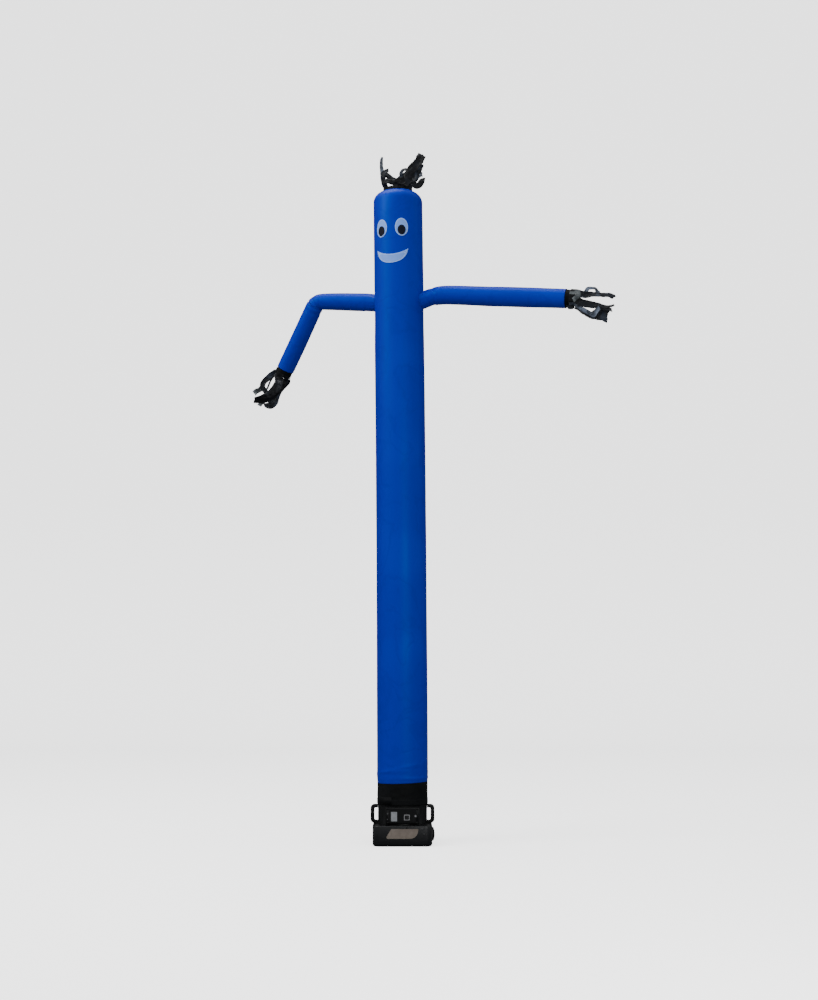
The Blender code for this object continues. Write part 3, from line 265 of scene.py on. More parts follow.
# ---- node graphs --------------------------------------------------------------------------------
class Graph:
    """A shader node tree with short ways to add nodes and join them."""

    def __init__(self, tree: bpy.types.NodeTree) -> None:
        """Keep the tree that the nodes go into."""
        self.tree = tree

    def node(self, kind: str, inputs: dict | None = None, **settings: object) -> bpy.types.Node:
        """Add a node.

        Args:
            kind: the node's Blender type, without its "ShaderNode" start.
            inputs: what goes into its sockets, by name or number; a socket is joined, a value is set.
            settings: the node's own properties.

        Returns:
            The node.
        """
        made = self.tree.nodes.new("ShaderNode" + kind)
        for name, value in settings.items():
            setattr(made, name, value)
        for name, value in (inputs or {}).items():
            self.put(made.inputs[name], value)
        return made

    def put(self, socket: Socket, value: object) -> None:
        """Join a socket to another, or set its value."""
        if isinstance(value, Socket):
            self.tree.links.new(value, socket)
        else:
            socket.default_value = value

    def math(self, operation: str, *terms: object, clamp: bool = False) -> Socket:
        """Join terms, sockets or numbers, by a Math node's operation; clamp keeps it from 0 to 1."""
        inputs = dict(enumerate(terms))
        return self.node("Math", inputs, operation=operation, use_clamp=clamp).outputs[0]

    def times(self, first: object, second: object) -> Socket:
        """The product of two terms."""
        return self.math("MULTIPLY", first, second)

    def plus(self, first: object, second: object) -> Socket:
        """The sum of two terms."""
        return self.math("ADD", first, second)

    def ramp(self, value: object, low: float, high: float, at_low: float = 0.0,
             at_high: float = 1.0) -> Socket:
        """Map the values from low to high smoothly onto those from at_low to at_high."""
        inputs = {"Value": value, "From Min": low, "From Max": high, "To Min": at_low, "To Max": at_high}
        return self.node("MapRange", inputs, interpolation_type="SMOOTHSTEP").outputs["Result"]

    def noise(self, place: object, scale: float, detail: float = 2.0, roughness: float = 0.5,
              distortion: float = 0.0) -> Socket:
        """A cloudy pattern from 0 to 1; scale is its clouds to the metre, distortion stirs it."""
        inputs = {"Vector": place, "Scale": scale, "Detail": detail, "Roughness": roughness,
                  "Distortion": distortion}
        return self.node("TexNoise", inputs).outputs[0]

    def mix(self, share: object, low: object, high: object) -> Socket:
        """Mix two colours.

        Args:
            share: 0 for the first colour, 1 for the second.
            low: the first colour.
            high: the second colour.

        Returns:
            The mixed colour's socket.
        """
        made = self.node("Mix", data_type="RGBA")
        for socket, value in zip((made.inputs[0], made.inputs[6], made.inputs[7]), (share, low, high)):
            if isinstance(value, tuple):
                value = (*value, 1.0)
            self.put(socket, value)
        return made.outputs[2]

    def split(self, vector: object) -> list[Socket]:
        """The X, Y and Z of a vector."""
        return list(self.node("SeparateXYZ", {0: vector}).outputs)


class EffectGroup:
    """A shader node group that several finishes place, each with its own values."""

    name = ""
    takes: dict[str, float | None] = {}
    gives: tuple[str, ...] = ()

    def tree(self) -> bpy.types.NodeTree:
        """The group's tree, built on first use."""
        found = bpy.data.node_groups.get(self.name)
        if found:
            return found
        tree = bpy.data.node_groups.new(self.name, "ShaderNodeTree")
        for name, value in self.takes.items():
            kind = "NodeSocketVector" if value is None else "NodeSocketFloat"
            socket = tree.interface.new_socket(name=name, in_out="INPUT", socket_type=kind)
            if value is not None:
                socket.default_value = value
        for name in self.gives:
            tree.interface.new_socket(name=name, in_out="OUTPUT", socket_type="NodeSocketFloat")
        graph = Graph(tree)
        start, end = tree.nodes.new("NodeGroupInput"), tree.nodes.new("NodeGroupOutput")
        for name, socket in self.wire(graph, start.outputs).items():
            tree.links.new(socket, end.inputs[name])
        return tree

    def wire(self, graph: Graph, given: bpy.types.NodeOutputs) -> dict[str, Socket]:
        """Build the group's inside from its inputs, and give each output's socket by name."""
        raise NotImplementedError

    def place(self, graph: Graph, inputs: dict) -> bpy.types.NodeOutputs:
        """Place the group in a material's graph.

        Args:
            graph: the material's graph.
            inputs: what goes into the group, by name.

        Returns:
            The placed group's outputs, by name.
        """
        made = graph.node("Group", node_tree=self.tree())
        for name, value in inputs.items():
            graph.put(made.inputs[name], value)
        return made.outputs


class WovenThreads(EffectGroup):
    """Woven threads, with a heavier one every few millimetres both ways."""

    name = "woven threads"
    takes = {"Place": None, "Pitch": 0.0007, "Grid": 0.006, "Depth": 0.00005}
    gives = ("Height", "Threads")

    def wire(self, graph: Graph, given: bpy.types.NodeOutputs) -> dict[str, Socket]:
        """Cross two sets of ribs, then add the heavier threads."""
        ribs, heavy = [], []
        for way in graph.split(given["Place"])[:2]:
            turns = graph.math("DIVIDE", graph.times(way, tau), given["Pitch"])
            ribs.append(graph.math("SINE", turns))
            cell = graph.math("PINGPONG", way, graph.times(given["Grid"], 0.5))
            heavy.append(graph.ramp(graph.math("DIVIDE", cell, given["Grid"]), 0.03, 0.09, 1.0, 0.0))
        threads = graph.math("MAXIMUM", *heavy)
        ground = graph.times(graph.times(*ribs), 0.4)
        height = graph.times(graph.plus(ground, threads), given["Depth"])
        return {"Height": height, "Threads": threads}


class CreasesAndPatches(EffectGroup):
    """Soft creases and paler patches of cloth that has been packed away many times; the finishes paint shade
    into the creases of the blue, black and pupil cloth and highlight into those of the ribbons and the white
    cloth, and on the ribbons the pale patches are painted sheen.
    """

    name = "handled cloth"
    takes = {"Place": None, "Scale": 8.0, "Depth": 0.002}
    gives = ("Height", "Crease", "Patch")

    def wire(self, graph: Graph, given: bpy.types.NodeOutputs) -> dict[str, Socket]:
        """Sharp folds come from the middle line of a cloudy pattern."""
        clouds = graph.noise(given["Place"], given["Scale"], detail=3.0, distortion=0.7)
        away = graph.math("ABSOLUTE", graph.math("SUBTRACT", clouds, 0.5))
        crease = graph.ramp(away, 0.0, 0.045, 1.0, 0.0)
        wide = graph.noise(given["Place"], graph.times(given["Scale"], 0.45), detail=1.0)
        swell = graph.times(wide, 1.4)
        height = graph.times(graph.math("SUBTRACT", swell, graph.times(crease, 0.25)),
                            given["Depth"])
        return {"Height": height, "Crease": crease, "Patch": graph.ramp(wide, 0.50, 0.66)}


class StitchRow(EffectGroup):
    """A row of stitches, in metres across and along the seam."""

    name = "stitch row"
    takes = {"Across": 0.0, "Along": 0.0, "At": 0.0, "Length": 0.0045}
    gives = ("Thread", "Height")

    def wire(self, graph: Graph, given: bpy.types.NodeOutputs) -> dict[str, Socket]:
        """A thin line broken into stitches, each drawn into the cloth at its ends."""
        off = graph.math("ABSOLUTE", graph.math("SUBTRACT", given["Across"], given["At"]))
        line = graph.ramp(off, 0.0004, 0.0009, 1.0, 0.0)
        half = graph.times(given["Length"], 0.5)
        share = graph.math("DIVIDE", graph.math("PINGPONG", given["Along"], half), half)
        thread = graph.times(line, graph.ramp(share, 0.15, 0.35))
        drawn = graph.ramp(off, 0.0, 0.004, 1.0, 0.0)
        height = graph.math("SUBTRACT", graph.times(thread, 0.0005),
                            graph.times(drawn, 0.0008))
        return {"Thread": thread, "Height": height}


class MouldedSurface(EffectGroup):
    """Grain, scuffs and settled dust of a moulded plastic case."""

    name = "moulded surface"
    takes = {"Place": None, "Grain": 0.00004, "Dust": 0.4}
    gives = ("Height", "Scuff", "Dust")

    def wire(self, graph: Graph, given: bpy.types.NodeOutputs) -> dict[str, Socket]:
        """Dust lies where the surface faces up, in patches; scuffs are long and thin."""
        grain = graph.noise(given["Place"], 900.0, detail=2.0)
        waves = graph.noise(given["Place"], 14.0, detail=1.0)
        height = graph.plus(graph.times(grain, given["Grain"]),
                            graph.times(waves, 0.0006))
        stretched = graph.node("VectorMath", {0: given["Place"], 1: (9.0, 9.0, 60.0)}, operation="MULTIPLY")
        scuff = graph.ramp(graph.noise(stretched.outputs[0], 1.0, detail=4.0, roughness=0.7), 0.62, 0.74)
        rising = graph.split(graph.node("NewGeometry").outputs["Normal"])[2]
        settled = graph.ramp(rising, 0.25, 0.95)
        patches = graph.ramp(graph.noise(given["Place"], 22.0, detail=5.0, roughness=0.65), 0.36, 0.70)
        dust = graph.math("MULTIPLY", graph.times(settled, patches), given["Dust"], clamp=True)
        return {"Height": height, "Scuff": scuff, "Dust": dust}


THREADS, CREASES_AND_PATCHES, STITCHES, MOULDED = WovenThreads(), CreasesAndPatches(), StitchRow(), MouldedSurface()


# ---- finishes -----------------------------------------------------------------------------------
class Stitching(NamedTuple):
    """Rows of stitches on a cloth: which way they run, and the place of each across that way."""

    runs: Runs
    rows: tuple[float, ...]


@dataclass(frozen=True)
class Finish:
    """What a surface is made of."""

    name: str
    colour: Colour
    roughness: float
    gloss: float = 0.5

    def material(self) -> bpy.types.Material:
        """The finish's material, built on first use."""
        found = bpy.data.materials.get(self.name)
        if found:
            return found
        made = bpy.data.materials.new(self.name)
        made.use_nodes = True
        shader = made.node_tree.nodes["Principled BSDF"]
        shader.inputs["Specular IOR Level"].default_value = self.gloss
        shader.inputs["Roughness"].default_value = self.roughness
        self.wire(Graph(made.node_tree), shader)
        return made

    def wire(self, graph: Graph, shader: bpy.types.Node) -> None:
        """Join the finish's patterns to its Principled shader."""
        raise NotImplementedError

    def bump(self, graph: Graph, shader: bpy.types.Node, height: Socket) -> None:
        """Raise the surface by a height in metres."""
        node = graph.node("Bump", {"Height": height, "Distance": 1.0, "Strength": 1.0})
        graph.put(shader.inputs["Normal"], node.outputs["Normal"])


@dataclass(frozen=True)
class ClothFinish(Finish):
    """Coated nylon cloth with its own map, in metres."""

    # pale: colour of the paler patches and heavy threads; on the ribbons it is painted sheen
    pale: Colour = (0.5, 0.5, 0.5)
    # crease: colour painted along the creases, painted shade where darker than the cloth, painted highlight
    # where paler
    crease: Colour = (0.0, 0.0, 0.0)
    pale_share: float = 0.0
    painted_crease_share: float = 0.3
    crumple_scale: float = 7.0
    crumple_depth: float = 0.0015
    thread_shade: float = 0.15
    thread_colour: Colour = (0.02, 0.02, 0.02)
    stitching: tuple[Stitching, ...] = ()
    sheen: Colour = (1.0, 1.0, 1.0)

    def wire(self, graph: Graph, shader: bpy.types.Node) -> None:
        """Weave, creases and stitch rows, all on the cloth's own map; the crease colour is painted shade
        where it is darker than the cloth and painted highlight where it is paler, and on the ribbons the pale
        patches are painted sheen.
        """
        flat = graph.node("UVMap", uv_map=UV_NAME).outputs["UV"]
        place = graph.node("TexCoord").outputs["Object"]
        across, along, _ = graph.split(flat)
        weave = THREADS.place(graph, {"Place": flat})
        creases_and_patches = CREASES_AND_PATCHES.place(graph, {"Place": place, "Scale": self.crumple_scale,
                                        "Depth": self.crumple_depth})
        # paler patches: random tone on most cloths, painted sheen on the ribbons
        colour = graph.mix(graph.times(creases_and_patches["Patch"], self.pale_share), self.colour, self.pale)
        # painted shade along the creases, painted highlight where the crease colour is paler than the cloth
        colour = graph.mix(graph.times(creases_and_patches["Crease"], self.painted_crease_share), colour, self.crease)
        colour = graph.mix(graph.times(weave["Threads"], self.thread_shade), colour, self.pale)
        height = graph.plus(weave["Height"], creases_and_patches["Height"])
        for stitching in self.stitching:
            over, run = (across, along) if stitching.runs is Runs.ALONG else (along, across)
            for row in stitching.rows:
                sewn = STITCHES.place(graph, {"Across": over, "Along": run, "At": row})
                colour = graph.mix(sewn["Thread"], colour, self.thread_colour)
                height = graph.plus(height, sewn["Height"])
        graph.put(shader.inputs["Base Color"], colour)
        shader.inputs["Specular Tint"].default_value = (*self.sheen, 1.0)
        rough = graph.ramp(creases_and_patches["Patch"], 0.0, 1.0, self.roughness, self.roughness - 0.08)
        graph.put(shader.inputs["Roughness"], rough)
        self.bump(graph, shader, height)


@dataclass(frozen=True)
class PlasticFinish(Finish):
    """Moulded plastic with a fine grain, scuffs and a little dust."""

    dust: Colour = (0.16, 0.15, 0.14)
    dust_share: float = 0.35
    grain: float = 0.00005

    def wire(self, graph: Graph, shader: bpy.types.Node) -> None:
        """Grain in the bump, scuffs in colour and gloss, dust on what faces up."""
        place = graph.node("TexCoord").outputs["Object"]
        worn = MOULDED.place(graph, {"Place": place, "Grain": self.grain, "Dust": self.dust_share})
        scuffed = tuple(min(1.0, c * 1.9 + 0.006) for c in self.colour)
        colour = graph.mix(graph.times(worn["Scuff"], 0.55), self.colour, scuffed)
        graph.put(shader.inputs["Base Color"], graph.mix(worn["Dust"], colour, self.dust))
        rough = graph.plus(graph.times(worn["Scuff"], 0.18),
                           graph.times(worn["Dust"], 0.35))
        graph.put(shader.inputs["Roughness"], graph.math("ADD", rough, self.roughness, clamp=True))
        self.bump(graph, shader, worn["Height"])


@dataclass(frozen=True)
class LabelFinish(Finish):
    """A bare label, rubbed and smudged, with the waves of its glue."""

    smudge: Colour = (0.2, 0.2, 0.2)
    smudge_scale: float = 30.0

    def wire(self, graph: Graph, shader: bpy.types.Node) -> None:
        """Smudges in colour and gloss, shallow waves in the bump."""
        place = graph.node("TexCoord").outputs["Object"]
        smudges = graph.noise(place, self.smudge_scale, detail=6.0, roughness=0.6, distortion=0.4)
        share = graph.ramp(smudges, 0.40, 0.68)
        graph.put(shader.inputs["Base Color"], graph.mix(share, self.colour, self.smudge))
        rough = graph.ramp(share, 0.0, 1.0, self.roughness, self.roughness + 0.2)
        graph.put(shader.inputs["Roughness"], rough)
        waves = graph.times(graph.noise(place, 45.0, detail=1.0), 0.0006)
        self.bump(graph, shader, waves)


@dataclass(frozen=True)
class SteelFinish(Finish):
    """Plated steel with turning marks and dull spots."""

    def wire(self, graph: Graph, shader: bpy.types.Node) -> None:
        """Fine marks in the bump, dull spots in colour and gloss."""
        shader.inputs["Metallic"].default_value = 1.0
        place = graph.node("TexCoord").outputs["Object"]
        spots = graph.ramp(graph.noise(place, 350.0, detail=3.0), 0.48, 0.66)
        dull = tuple(c * 0.45 for c in self.colour)
        graph.put(shader.inputs["Base Color"], graph.mix(spots, self.colour, dull))
        graph.put(shader.inputs["Roughness"], graph.ramp(spots, 0.0, 1.0, self.roughness, 0.7))
        self.bump(graph, shader, graph.times(graph.noise(place, 1500.0, detail=2.0), 0.00003))


def cloth(name: str, base: ClothFinish, *stitching: Stitching) -> ClothFinish:
    """The same cloth under another name, with rows of stitches."""
    return replace(base, name=name, stitching=stitching)


# its darker crease colour is painted shade in the creases
BLUE = ClothFinish("blue nylon", (0.0, 0.0104, 0.325), 0.44, 0.24, pale=(0.0005, 0.026, 0.44),
                   crease=(0.0, 0.005, 0.23), pale_share=0.25, painted_crease_share=0.22, crumple_scale=3.0,
                   crumple_depth=0.0022, thread_shade=0.10, thread_colour=(0.0, 0.004, 0.17),
                   sheen=(0.0, 0.48, 1.0))
# its darker crease colour is painted shade in the creases
BLACK = ClothFinish("black nylon", (0.0030, 0.0034, 0.0036), 0.60, 0.06, pale=(0.0100, 0.0110, 0.0130),
                    crease=(0.001, 0.001, 0.0012), pale_share=0.30, painted_crease_share=0.4, crumple_scale=9.0,
                    crumple_depth=0.0024, thread_shade=0.12, thread_colour=(0.012, 0.012, 0.014))
WEBBING = replace(BLACK, name="black webbing", crumple_scale=4.0, crumple_depth=0.0008, thread_shade=0.4)
# the ribbon's pale patches are painted sheen and its pale crease colour is painted highlight along the folds
RIBBON = ClothFinish("black ribbon", (0.0035, 0.0040, 0.0056), 0.42, 0.12, pale=(0.040, 0.052, 0.078),
                     crease=(0.10, 0.12, 0.16), pale_share=0.60, painted_crease_share=0.14, crumple_scale=22.0,
                     crumple_depth=0.0030, thread_shade=0.16, thread_colour=(0.02, 0.02, 0.022))
# lit and shaded copies of the one ribbon cloth: more painted sheen, painted highlight, and less sheen with a
# darker colour for painted shade
RIBBON_SHEEN_PAINTED = replace(RIBBON, name="sheen painted ribbon", colour=(0.018, 0.023, 0.033), pale=(0.13, 0.16, 0.22),
                      crease=(0.30, 0.34, 0.40), pale_share=0.85)
RIBBON_HIGHLIGHT_PAINTED = replace(RIBBON, name="highlight painted ribbon", colour=(0.050, 0.058, 0.062), pale=(0.20, 0.23, 0.24),
                      crease=(0.40, 0.42, 0.44), pale_share=0.95)
RIBBON_SHADE_PAINTED = replace(RIBBON, name="shade painted ribbon", colour=(0.0026, 0.0028, 0.0036),
                      pale=(0.012, 0.015, 0.021), crease=(0.03, 0.034, 0.045), pale_share=0.5)
# its paler crease colour is painted highlight along the creases
WHITE = ClothFinish("white cloth", (0.155, 0.29, 0.74), 0.60, 0.10, pale=(0.23, 0.39, 0.84),
                    crease=(0.28, 0.42, 0.78), pale_share=0.5, painted_crease_share=0.12, crumple_scale=6.0,
                    crumple_depth=0.0010, thread_shade=0.2, thread_colour=(0.55, 0.68, 0.92))
# its darker crease colour is painted shade in the creases
PUPIL = ClothFinish("pupil cloth", (0.0030, 0.0036, 0.0100), 0.55, 0.08, pale=(0.008, 0.011, 0.026),
                    crease=(0.002, 0.002, 0.006), pale_share=0.4, crumple_scale=12.0, crumple_depth=0.0010,
                    thread_colour=(0.01, 0.01, 0.02))
CASE = PlasticFinish("case plastic", (0.0022, 0.0026, 0.0034), 0.26, 0.26, dust=(0.030, 0.029, 0.028),
                     dust_share=0.20)
SATIN = PlasticFinish("satin plastic", (0.0022, 0.0024, 0.0028), 0.34, 0.13, dust=(0.026, 0.025, 0.024),
                      dust_share=0.18)
DULL = PlasticFinish("dull grey plastic", (0.045, 0.045, 0.048), 0.45, 0.30, dust=(0.07, 0.07, 0.07),
                     dust_share=0.3)
GREY = PlasticFinish("grey plastic", (0.20, 0.20, 0.21), 0.40, 0.30, dust=(0.10, 0.096, 0.09), dust_share=0.5)
MARK = PlasticFinish("printed mark", (0.45, 0.45, 0.45), 0.5, 0.3, dust_share=0.2)
GREY_FOIL = LabelFinish("grey label", (0.215, 0.226, 0.242), 0.45, 0.25, smudge=(0.155, 0.164, 0.176))
TAUPE_FILM = LabelFinish("taupe label", (0.128, 0.105, 0.087), 0.50, 0.20, smudge=(0.162, 0.137, 0.118),
                         smudge_scale=18.0)
STEEL = SteelFinish("plated steel", (0.085, 0.085, 0.092), 0.40)


# ---- shapes -------------------------------------------------------------------------------------
def as_piece(name: str, bm: Shape, sharp: float | None = None) -> Piece:
    """Turn a bmesh into a piece of the scene.

    Args:
        name: the piece's name.
        bm: its shape, which is used up.
        sharp: edges with a wider angle than this, in degrees, stay sharp.

    Returns:
        The piece.
    """
    mesh = bpy.data.meshes.new(name)
    bm.to_mesh(mesh)
    bm.free()
    mesh.shade_smooth()
    if sharp is not None:
        mesh.set_sharp_from_angle(angle=radians(sharp))
    piece = bpy.data.objects.new(name, mesh)
    bpy.context.scene.collection.objects.link(piece)
    return piece


def dress(piece: Piece, finish: Finish, place: Slot, body: Body, *nodes: str) -> None:
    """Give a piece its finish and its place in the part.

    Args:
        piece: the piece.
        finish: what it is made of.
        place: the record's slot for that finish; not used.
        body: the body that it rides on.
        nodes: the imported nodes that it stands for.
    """
    piece.data.materials.append(finish.material())
    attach(piece, body.value)
    if nodes:
        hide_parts(*nodes)
    LOG.info("%s: %d faces, %s", piece.name, len(piece.data.polygons), finish.name)


def part(name: str, bm: Shape, sharp: float, finish: Finish, place: Slot, *nodes: str,
         body: Body = Body.DANCER) -> Piece:
    """Turn a hard shape into a dressed piece.

    Args:
        name: the piece's name.
        bm: its shape, which is used up.
        sharp: edges with a wider angle than this, in degrees, stay sharp.
        finish: what it is made of.
        place: the record's slot for that finish.
        nodes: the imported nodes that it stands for.
        body: the body that it rides on.

    Returns:
        The piece.
    """
    piece = as_piece(name, bm, sharp)
    dress(piece, finish, place, body, *nodes)
    return piece


def wall(piece: Piece, thickness: float, offset: float = -1.0) -> None:
    """Give a single skin its thickness, inwards unless offset says otherwise."""
    modifier = piece.modifiers.new("thickness", "SOLIDIFY")
    modifier.thickness = thickness
    modifier.offset = offset
    modifier.use_even_offset = False


def between(low: Sequence[float], high: Sequence[float]) -> list[float]:
    """The place half way between two corners."""
    return [(a + b) / 2 for a, b in zip(low, high)]


def extent(edge: Edge, axis: int) -> float:
    """How far an edge runs along an axis."""
    return abs(edge.verts[0].co[axis] - edge.verts[1].co[axis])


def verts_of(items: Sequence) -> list[Vert]:
    """The vertices among the items that an operation gives back."""
    return [item for item in items if isinstance(item, Vert)]


def block(low: Sequence[float], high: Sequence[float]) -> Shape:
    """A box between two corners."""
    bm = bmesh.new()
    bmesh.ops.create_cube(bm, size=1.0)
    bmesh.ops.scale(bm, vec=[high[k] - low[k] for k in range(3)], verts=bm.verts)
    bmesh.ops.translate(bm, vec=between(low, high), verts=bm.verts)
    return bm


def cut_across(bm: Shape, place: Sequence[float], normal: Vector,
               clear: bool = False) -> list[Edge]:
    """Cut a shape by a plane.

    Args:
        bm: the shape.
        place: a place on the plane.
        normal: the plane's direction.
        clear: whether what lies beyond the plane is taken away.

    Returns:
        The edges along the cut.
    """
    made = bmesh.ops.bisect_plane(bm, geom=bm.verts[:] + bm.edges[:] + bm.faces[:], plane_co=place,
                                  plane_no=normal, clear_outer=clear)["geom_cut"]
    return [item for item in made if isinstance(item, Edge)]


def round_off(bm: Shape, edges: Sequence[Edge], width: float,
              segments: int) -> None:
    """Round edges."""
    bmesh.ops.bevel(bm, geom=list(edges), offset=width, segments=segments, profile=0.5, affect="EDGES",
                    material=-1)


def lathe(outline: Profile, steps: int, loop: bool = False) -> Shape:
    """Spin an outline of (radius, height) round the Z axis.

    Args:
        outline: the points of the section.
        steps: how many steps the full turn has.
        loop: whether the section is closed, as on a ring.

    Returns:
        The turned shape.
    """
    bm = bmesh.new()
    points = [bm.verts.new((radius, 0.0, height)) for radius, height in outline]
    pairs = list(zip(points, points[1:])) + ([(points[-1], points[0])] if loop else [])
    edges = [bm.edges.new(pair) for pair in pairs]
    bmesh.ops.spin(bm, geom=points + edges, axis=(0, 0, 1), cent=(0, 0, 0), angle=tau, steps=steps,
                   use_merge=True)
    bmesh.ops.remove_doubles(bm, verts=bm.verts, dist=0.00001)
    bmesh.ops.recalc_face_normals(bm, faces=bm.faces)
    return bm


def plate(outline: Profile, front: float, back: float, corner: float, edge: float,
          segments: int = 3) -> Shape:
    """A plate across the front-to-back line.

    Args:
        outline: its (x, z) corners.
        front: where its front lies along Y.
        back: where its back lies.
        corner: rounding of the outline's corners.
        edge: rounding of its front and back borders.
        segments: facets of each rounding.

    Returns:
        The plate.
    """
    bm = bmesh.new()
    face = bm.faces.new([bm.verts.new((x, front, z)) for x, z in outline])
    made = bmesh.ops.extrude_face_region(bm, geom=[face])["geom"]
    bmesh.ops.translate(bm, vec=(0, back - front, 0), verts=verts_of(made))
    deep = abs(back - front)
    if corner:
        round_off(bm, [e for e in bm.edges if extent(e, Y) > deep / 2], corner, 5)
    if edge:
        round_off(bm, [e for e in bm.edges if extent(e, Y) < deep / 10], edge, segments)
    bmesh.ops.recalc_face_normals(bm, faces=bm.faces)
    return bm


def settle(bm: Shape, turn: float, axis: str, place: Sequence[float]) -> Shape:
    """Turn a shape and move it.

    Args:
        bm: the shape.
        turn: the angle that it is turned by.
        axis: the main axis that it is turned about.
        place: how far it is moved after that.

    Returns:
        The same shape.
    """
    bmesh.ops.rotate(bm, matrix=Matrix.Rotation(turn, 3, axis), verts=bm.verts)
    bmesh.ops.translate(bm, vec=place, verts=bm.verts)
    return bm


def bell(value: float, middle: float, width: float) -> float:
    """A smooth bump of height 1 about a middle."""
    return exp(-((value - middle) / width) ** 2)


def turn_apart(turn: float, other: float) -> float:
    """The angle between two turns, half a turn at most."""
    return abs((turn - other + pi) % tau - pi)


def cloudy(place: Vector, scale: float, seed: float = 0.0) -> float:
    """Smooth noise from about -1 to 1."""
    return noise.noise(place * scale + Vector((seed, seed * 1.7, -seed)))


class Line:
    """A smooth line through points, with a value that changes along it, measured by distance."""

    def __init__(self, points: Sequence[Vector], values: Sequence[float], fine: int = 10) -> None:
        """Draw a curve through the points.

        Args:
            points: the points.
            values: the value at each point.
            fine: steps between two points.
        """
        ends = [points[0] * 2 - points[1], *points, points[-1] * 2 - points[-2]]
        sizes = [values[0], *values, values[-1]]
        self.points, self.values, self.marks = [], [], [0.0]
        for k in range(len(points) - 1):
            for step in range(fine + (k == len(points) - 2)):
                self.points.append(self.between(ends[k:k + 4], step / fine))
                self.values.append(self.between(sizes[k:k + 4], step / fine))
        for a, b in zip(self.points, self.points[1:]):
            self.marks.append(self.marks[-1] + (b - a).length)
        self.length = self.marks[-1]

    @staticmethod
    def between(four: Sequence, share: float) -> Vector | float:
        """The curve through the middle two of four knots, at a share of the way."""
        a, b, c, d = four
        return 0.5 * (2 * b + (c - a) * share + (2 * a - 5 * b + 4 * c - d) * share ** 2
                      + (3 * b - a - 3 * c + d) * share ** 3)

    def at(self, distance: float) -> tuple[Vector, Vector, float]:
        """The point, direction and value at a distance from the start."""
        distance = min(max(distance, 0.0), self.length)
        k = min(bisect_right(self.marks, distance), len(self.marks) - 1)
        share = (distance - self.marks[k - 1]) / (self.marks[k] - self.marks[k - 1])
        before, after = self.points[max(k - 2, 0)], self.points[min(k + 1, len(self.points) - 1)]
        ahead = (self.points[k] - before).normalized().lerp((after - self.points[k - 1]).normalized(), share)
        point = self.points[k - 1].lerp(self.points[k], share)
        return point, ahead.normalized(), self.values[k - 1] + (self.values[k] - self.values[k - 1]) * share


def lay_round_map(bm: Shape, girth: float,
                  read: Callable[[Vert], tuple[float, float]]) -> None:
    """Lay a cloth's map round a closed shape.

    Args:
        bm: the shape.
        girth: the map's length for a full turn.
        read: gives a vertex's turn, from 0 to a full turn, and its place along.
    """
    layer = bm.loops.layers.uv.new(UV_NAME)
    for face in bm.faces:
        marks = [(loop, *read(loop.vert)) for loop in face.loops]
        turns = [turn for _, turn, _ in marks]
        wraps = max(turns) - min(turns) > pi
        for loop, turn, along in marks:
            turn += tau if wraps and turn < pi else 0.0
            loop[layer].uv = (turn / tau * girth, along)


def lay_flat_map(bm: Shape,
                 read: Callable[[Vert], tuple[float, float]]) -> None:
    """Lay a cloth's map on a flat shape; read gives a vertex's place across and along."""
    layer = bm.loops.layers.uv.new(UV_NAME)
    for loop in (loop for face in bm.faces for loop in face.loops):
        loop[layer].uv = read(loop.vert)


class Skin:
    """A round cloth, grown ring by ring; each vertex knows its place round and along the cloth."""

    def __init__(self, sides: int, girth: float) -> None:
        """Start with one ring.

        Args:
            sides: vertices in a ring.
            girth: the cloth's length round, for its map.
        """
        self.bm = bmesh.new()
        self.turn = self.bm.verts.layers.float.new("turn")
        self.along = self.bm.verts.layers.float.new("along")
        self.girth = girth
        self.rings = 0
        self.ring = bmesh.ops.create_circle(self.bm, segments=sides, radius=1.0)["verts"]
        for vert in self.ring:
            vert[self.turn] = atan2(vert.co.y, vert.co.x) % tau

    def grow(self, along: float, place: Callable[[float], Vector]) -> None:
        """Add the next ring.

        Args:
            along: its place along the cloth.
            place: gives a vertex's place from its turn.
        """
        if self.rings:
            kept = set(self.ring)
            edges = {e for v in self.ring for e in v.link_edges if e.other_vert(v) in kept}
            self.ring = verts_of(bmesh.ops.extrude_edge_only(self.bm, edges=list(edges))["geom"])
        self.rings += 1
        for vert in self.ring:
            vert.co = place(vert[self.turn])
            vert[self.along] = along

    def finish(self) -> Shape:
        """Turn the faces outwards and lay the cloth's map."""
        bm = self.bm
        bm.normal_update()
        sample = next(iter(bm.faces))
        level = {v[self.along] for v in sample.verts}
        near = [v.co for v in bm.verts if v[self.along] in level]
        middle = sum(near, Vector()) / len(near)
        if sample.normal.dot(sample.calc_center_median() - middle) < 0:
            bmesh.ops.reverse_faces(bm, faces=bm.faces)
        lay_round_map(bm, self.girth, lambda vert: (vert[self.turn], vert[self.along]))
        return bm


def round_cloth(sides: int, girth: float, stops: Sequence[float],
                point: Callable[[float, float], Vector]) -> Shape:
    """Grow a round cloth.

    Args:
        sides: vertices in a ring.
        girth: the cloth's length round, for its map.
        stops: where its rings lie, from its start.
        point: gives a vertex's place from its turn and its ring's stop.

    Returns:
        The cloth.
    """
    skin = Skin(sides, girth)
    for stop in stops:
        skin.grow(stop - stops[0], lambda turn: point(turn, stop))
    return skin.finish()


def steps_between(low: float, high: float, step: Callable[[float], float]) -> list[float]:
    """Values from low to high, with a step that changes on the way.

    Args:
        low: the first value.
        high: the last value.
        step: the step wanted at a value.

    Returns:
        The values, both ends among them.
    """
    values = [low]
    while values[-1] + 1.5 * step(values[-1]) < high:
        values.append(values[-1] + step(values[-1]))
    return values + [high]


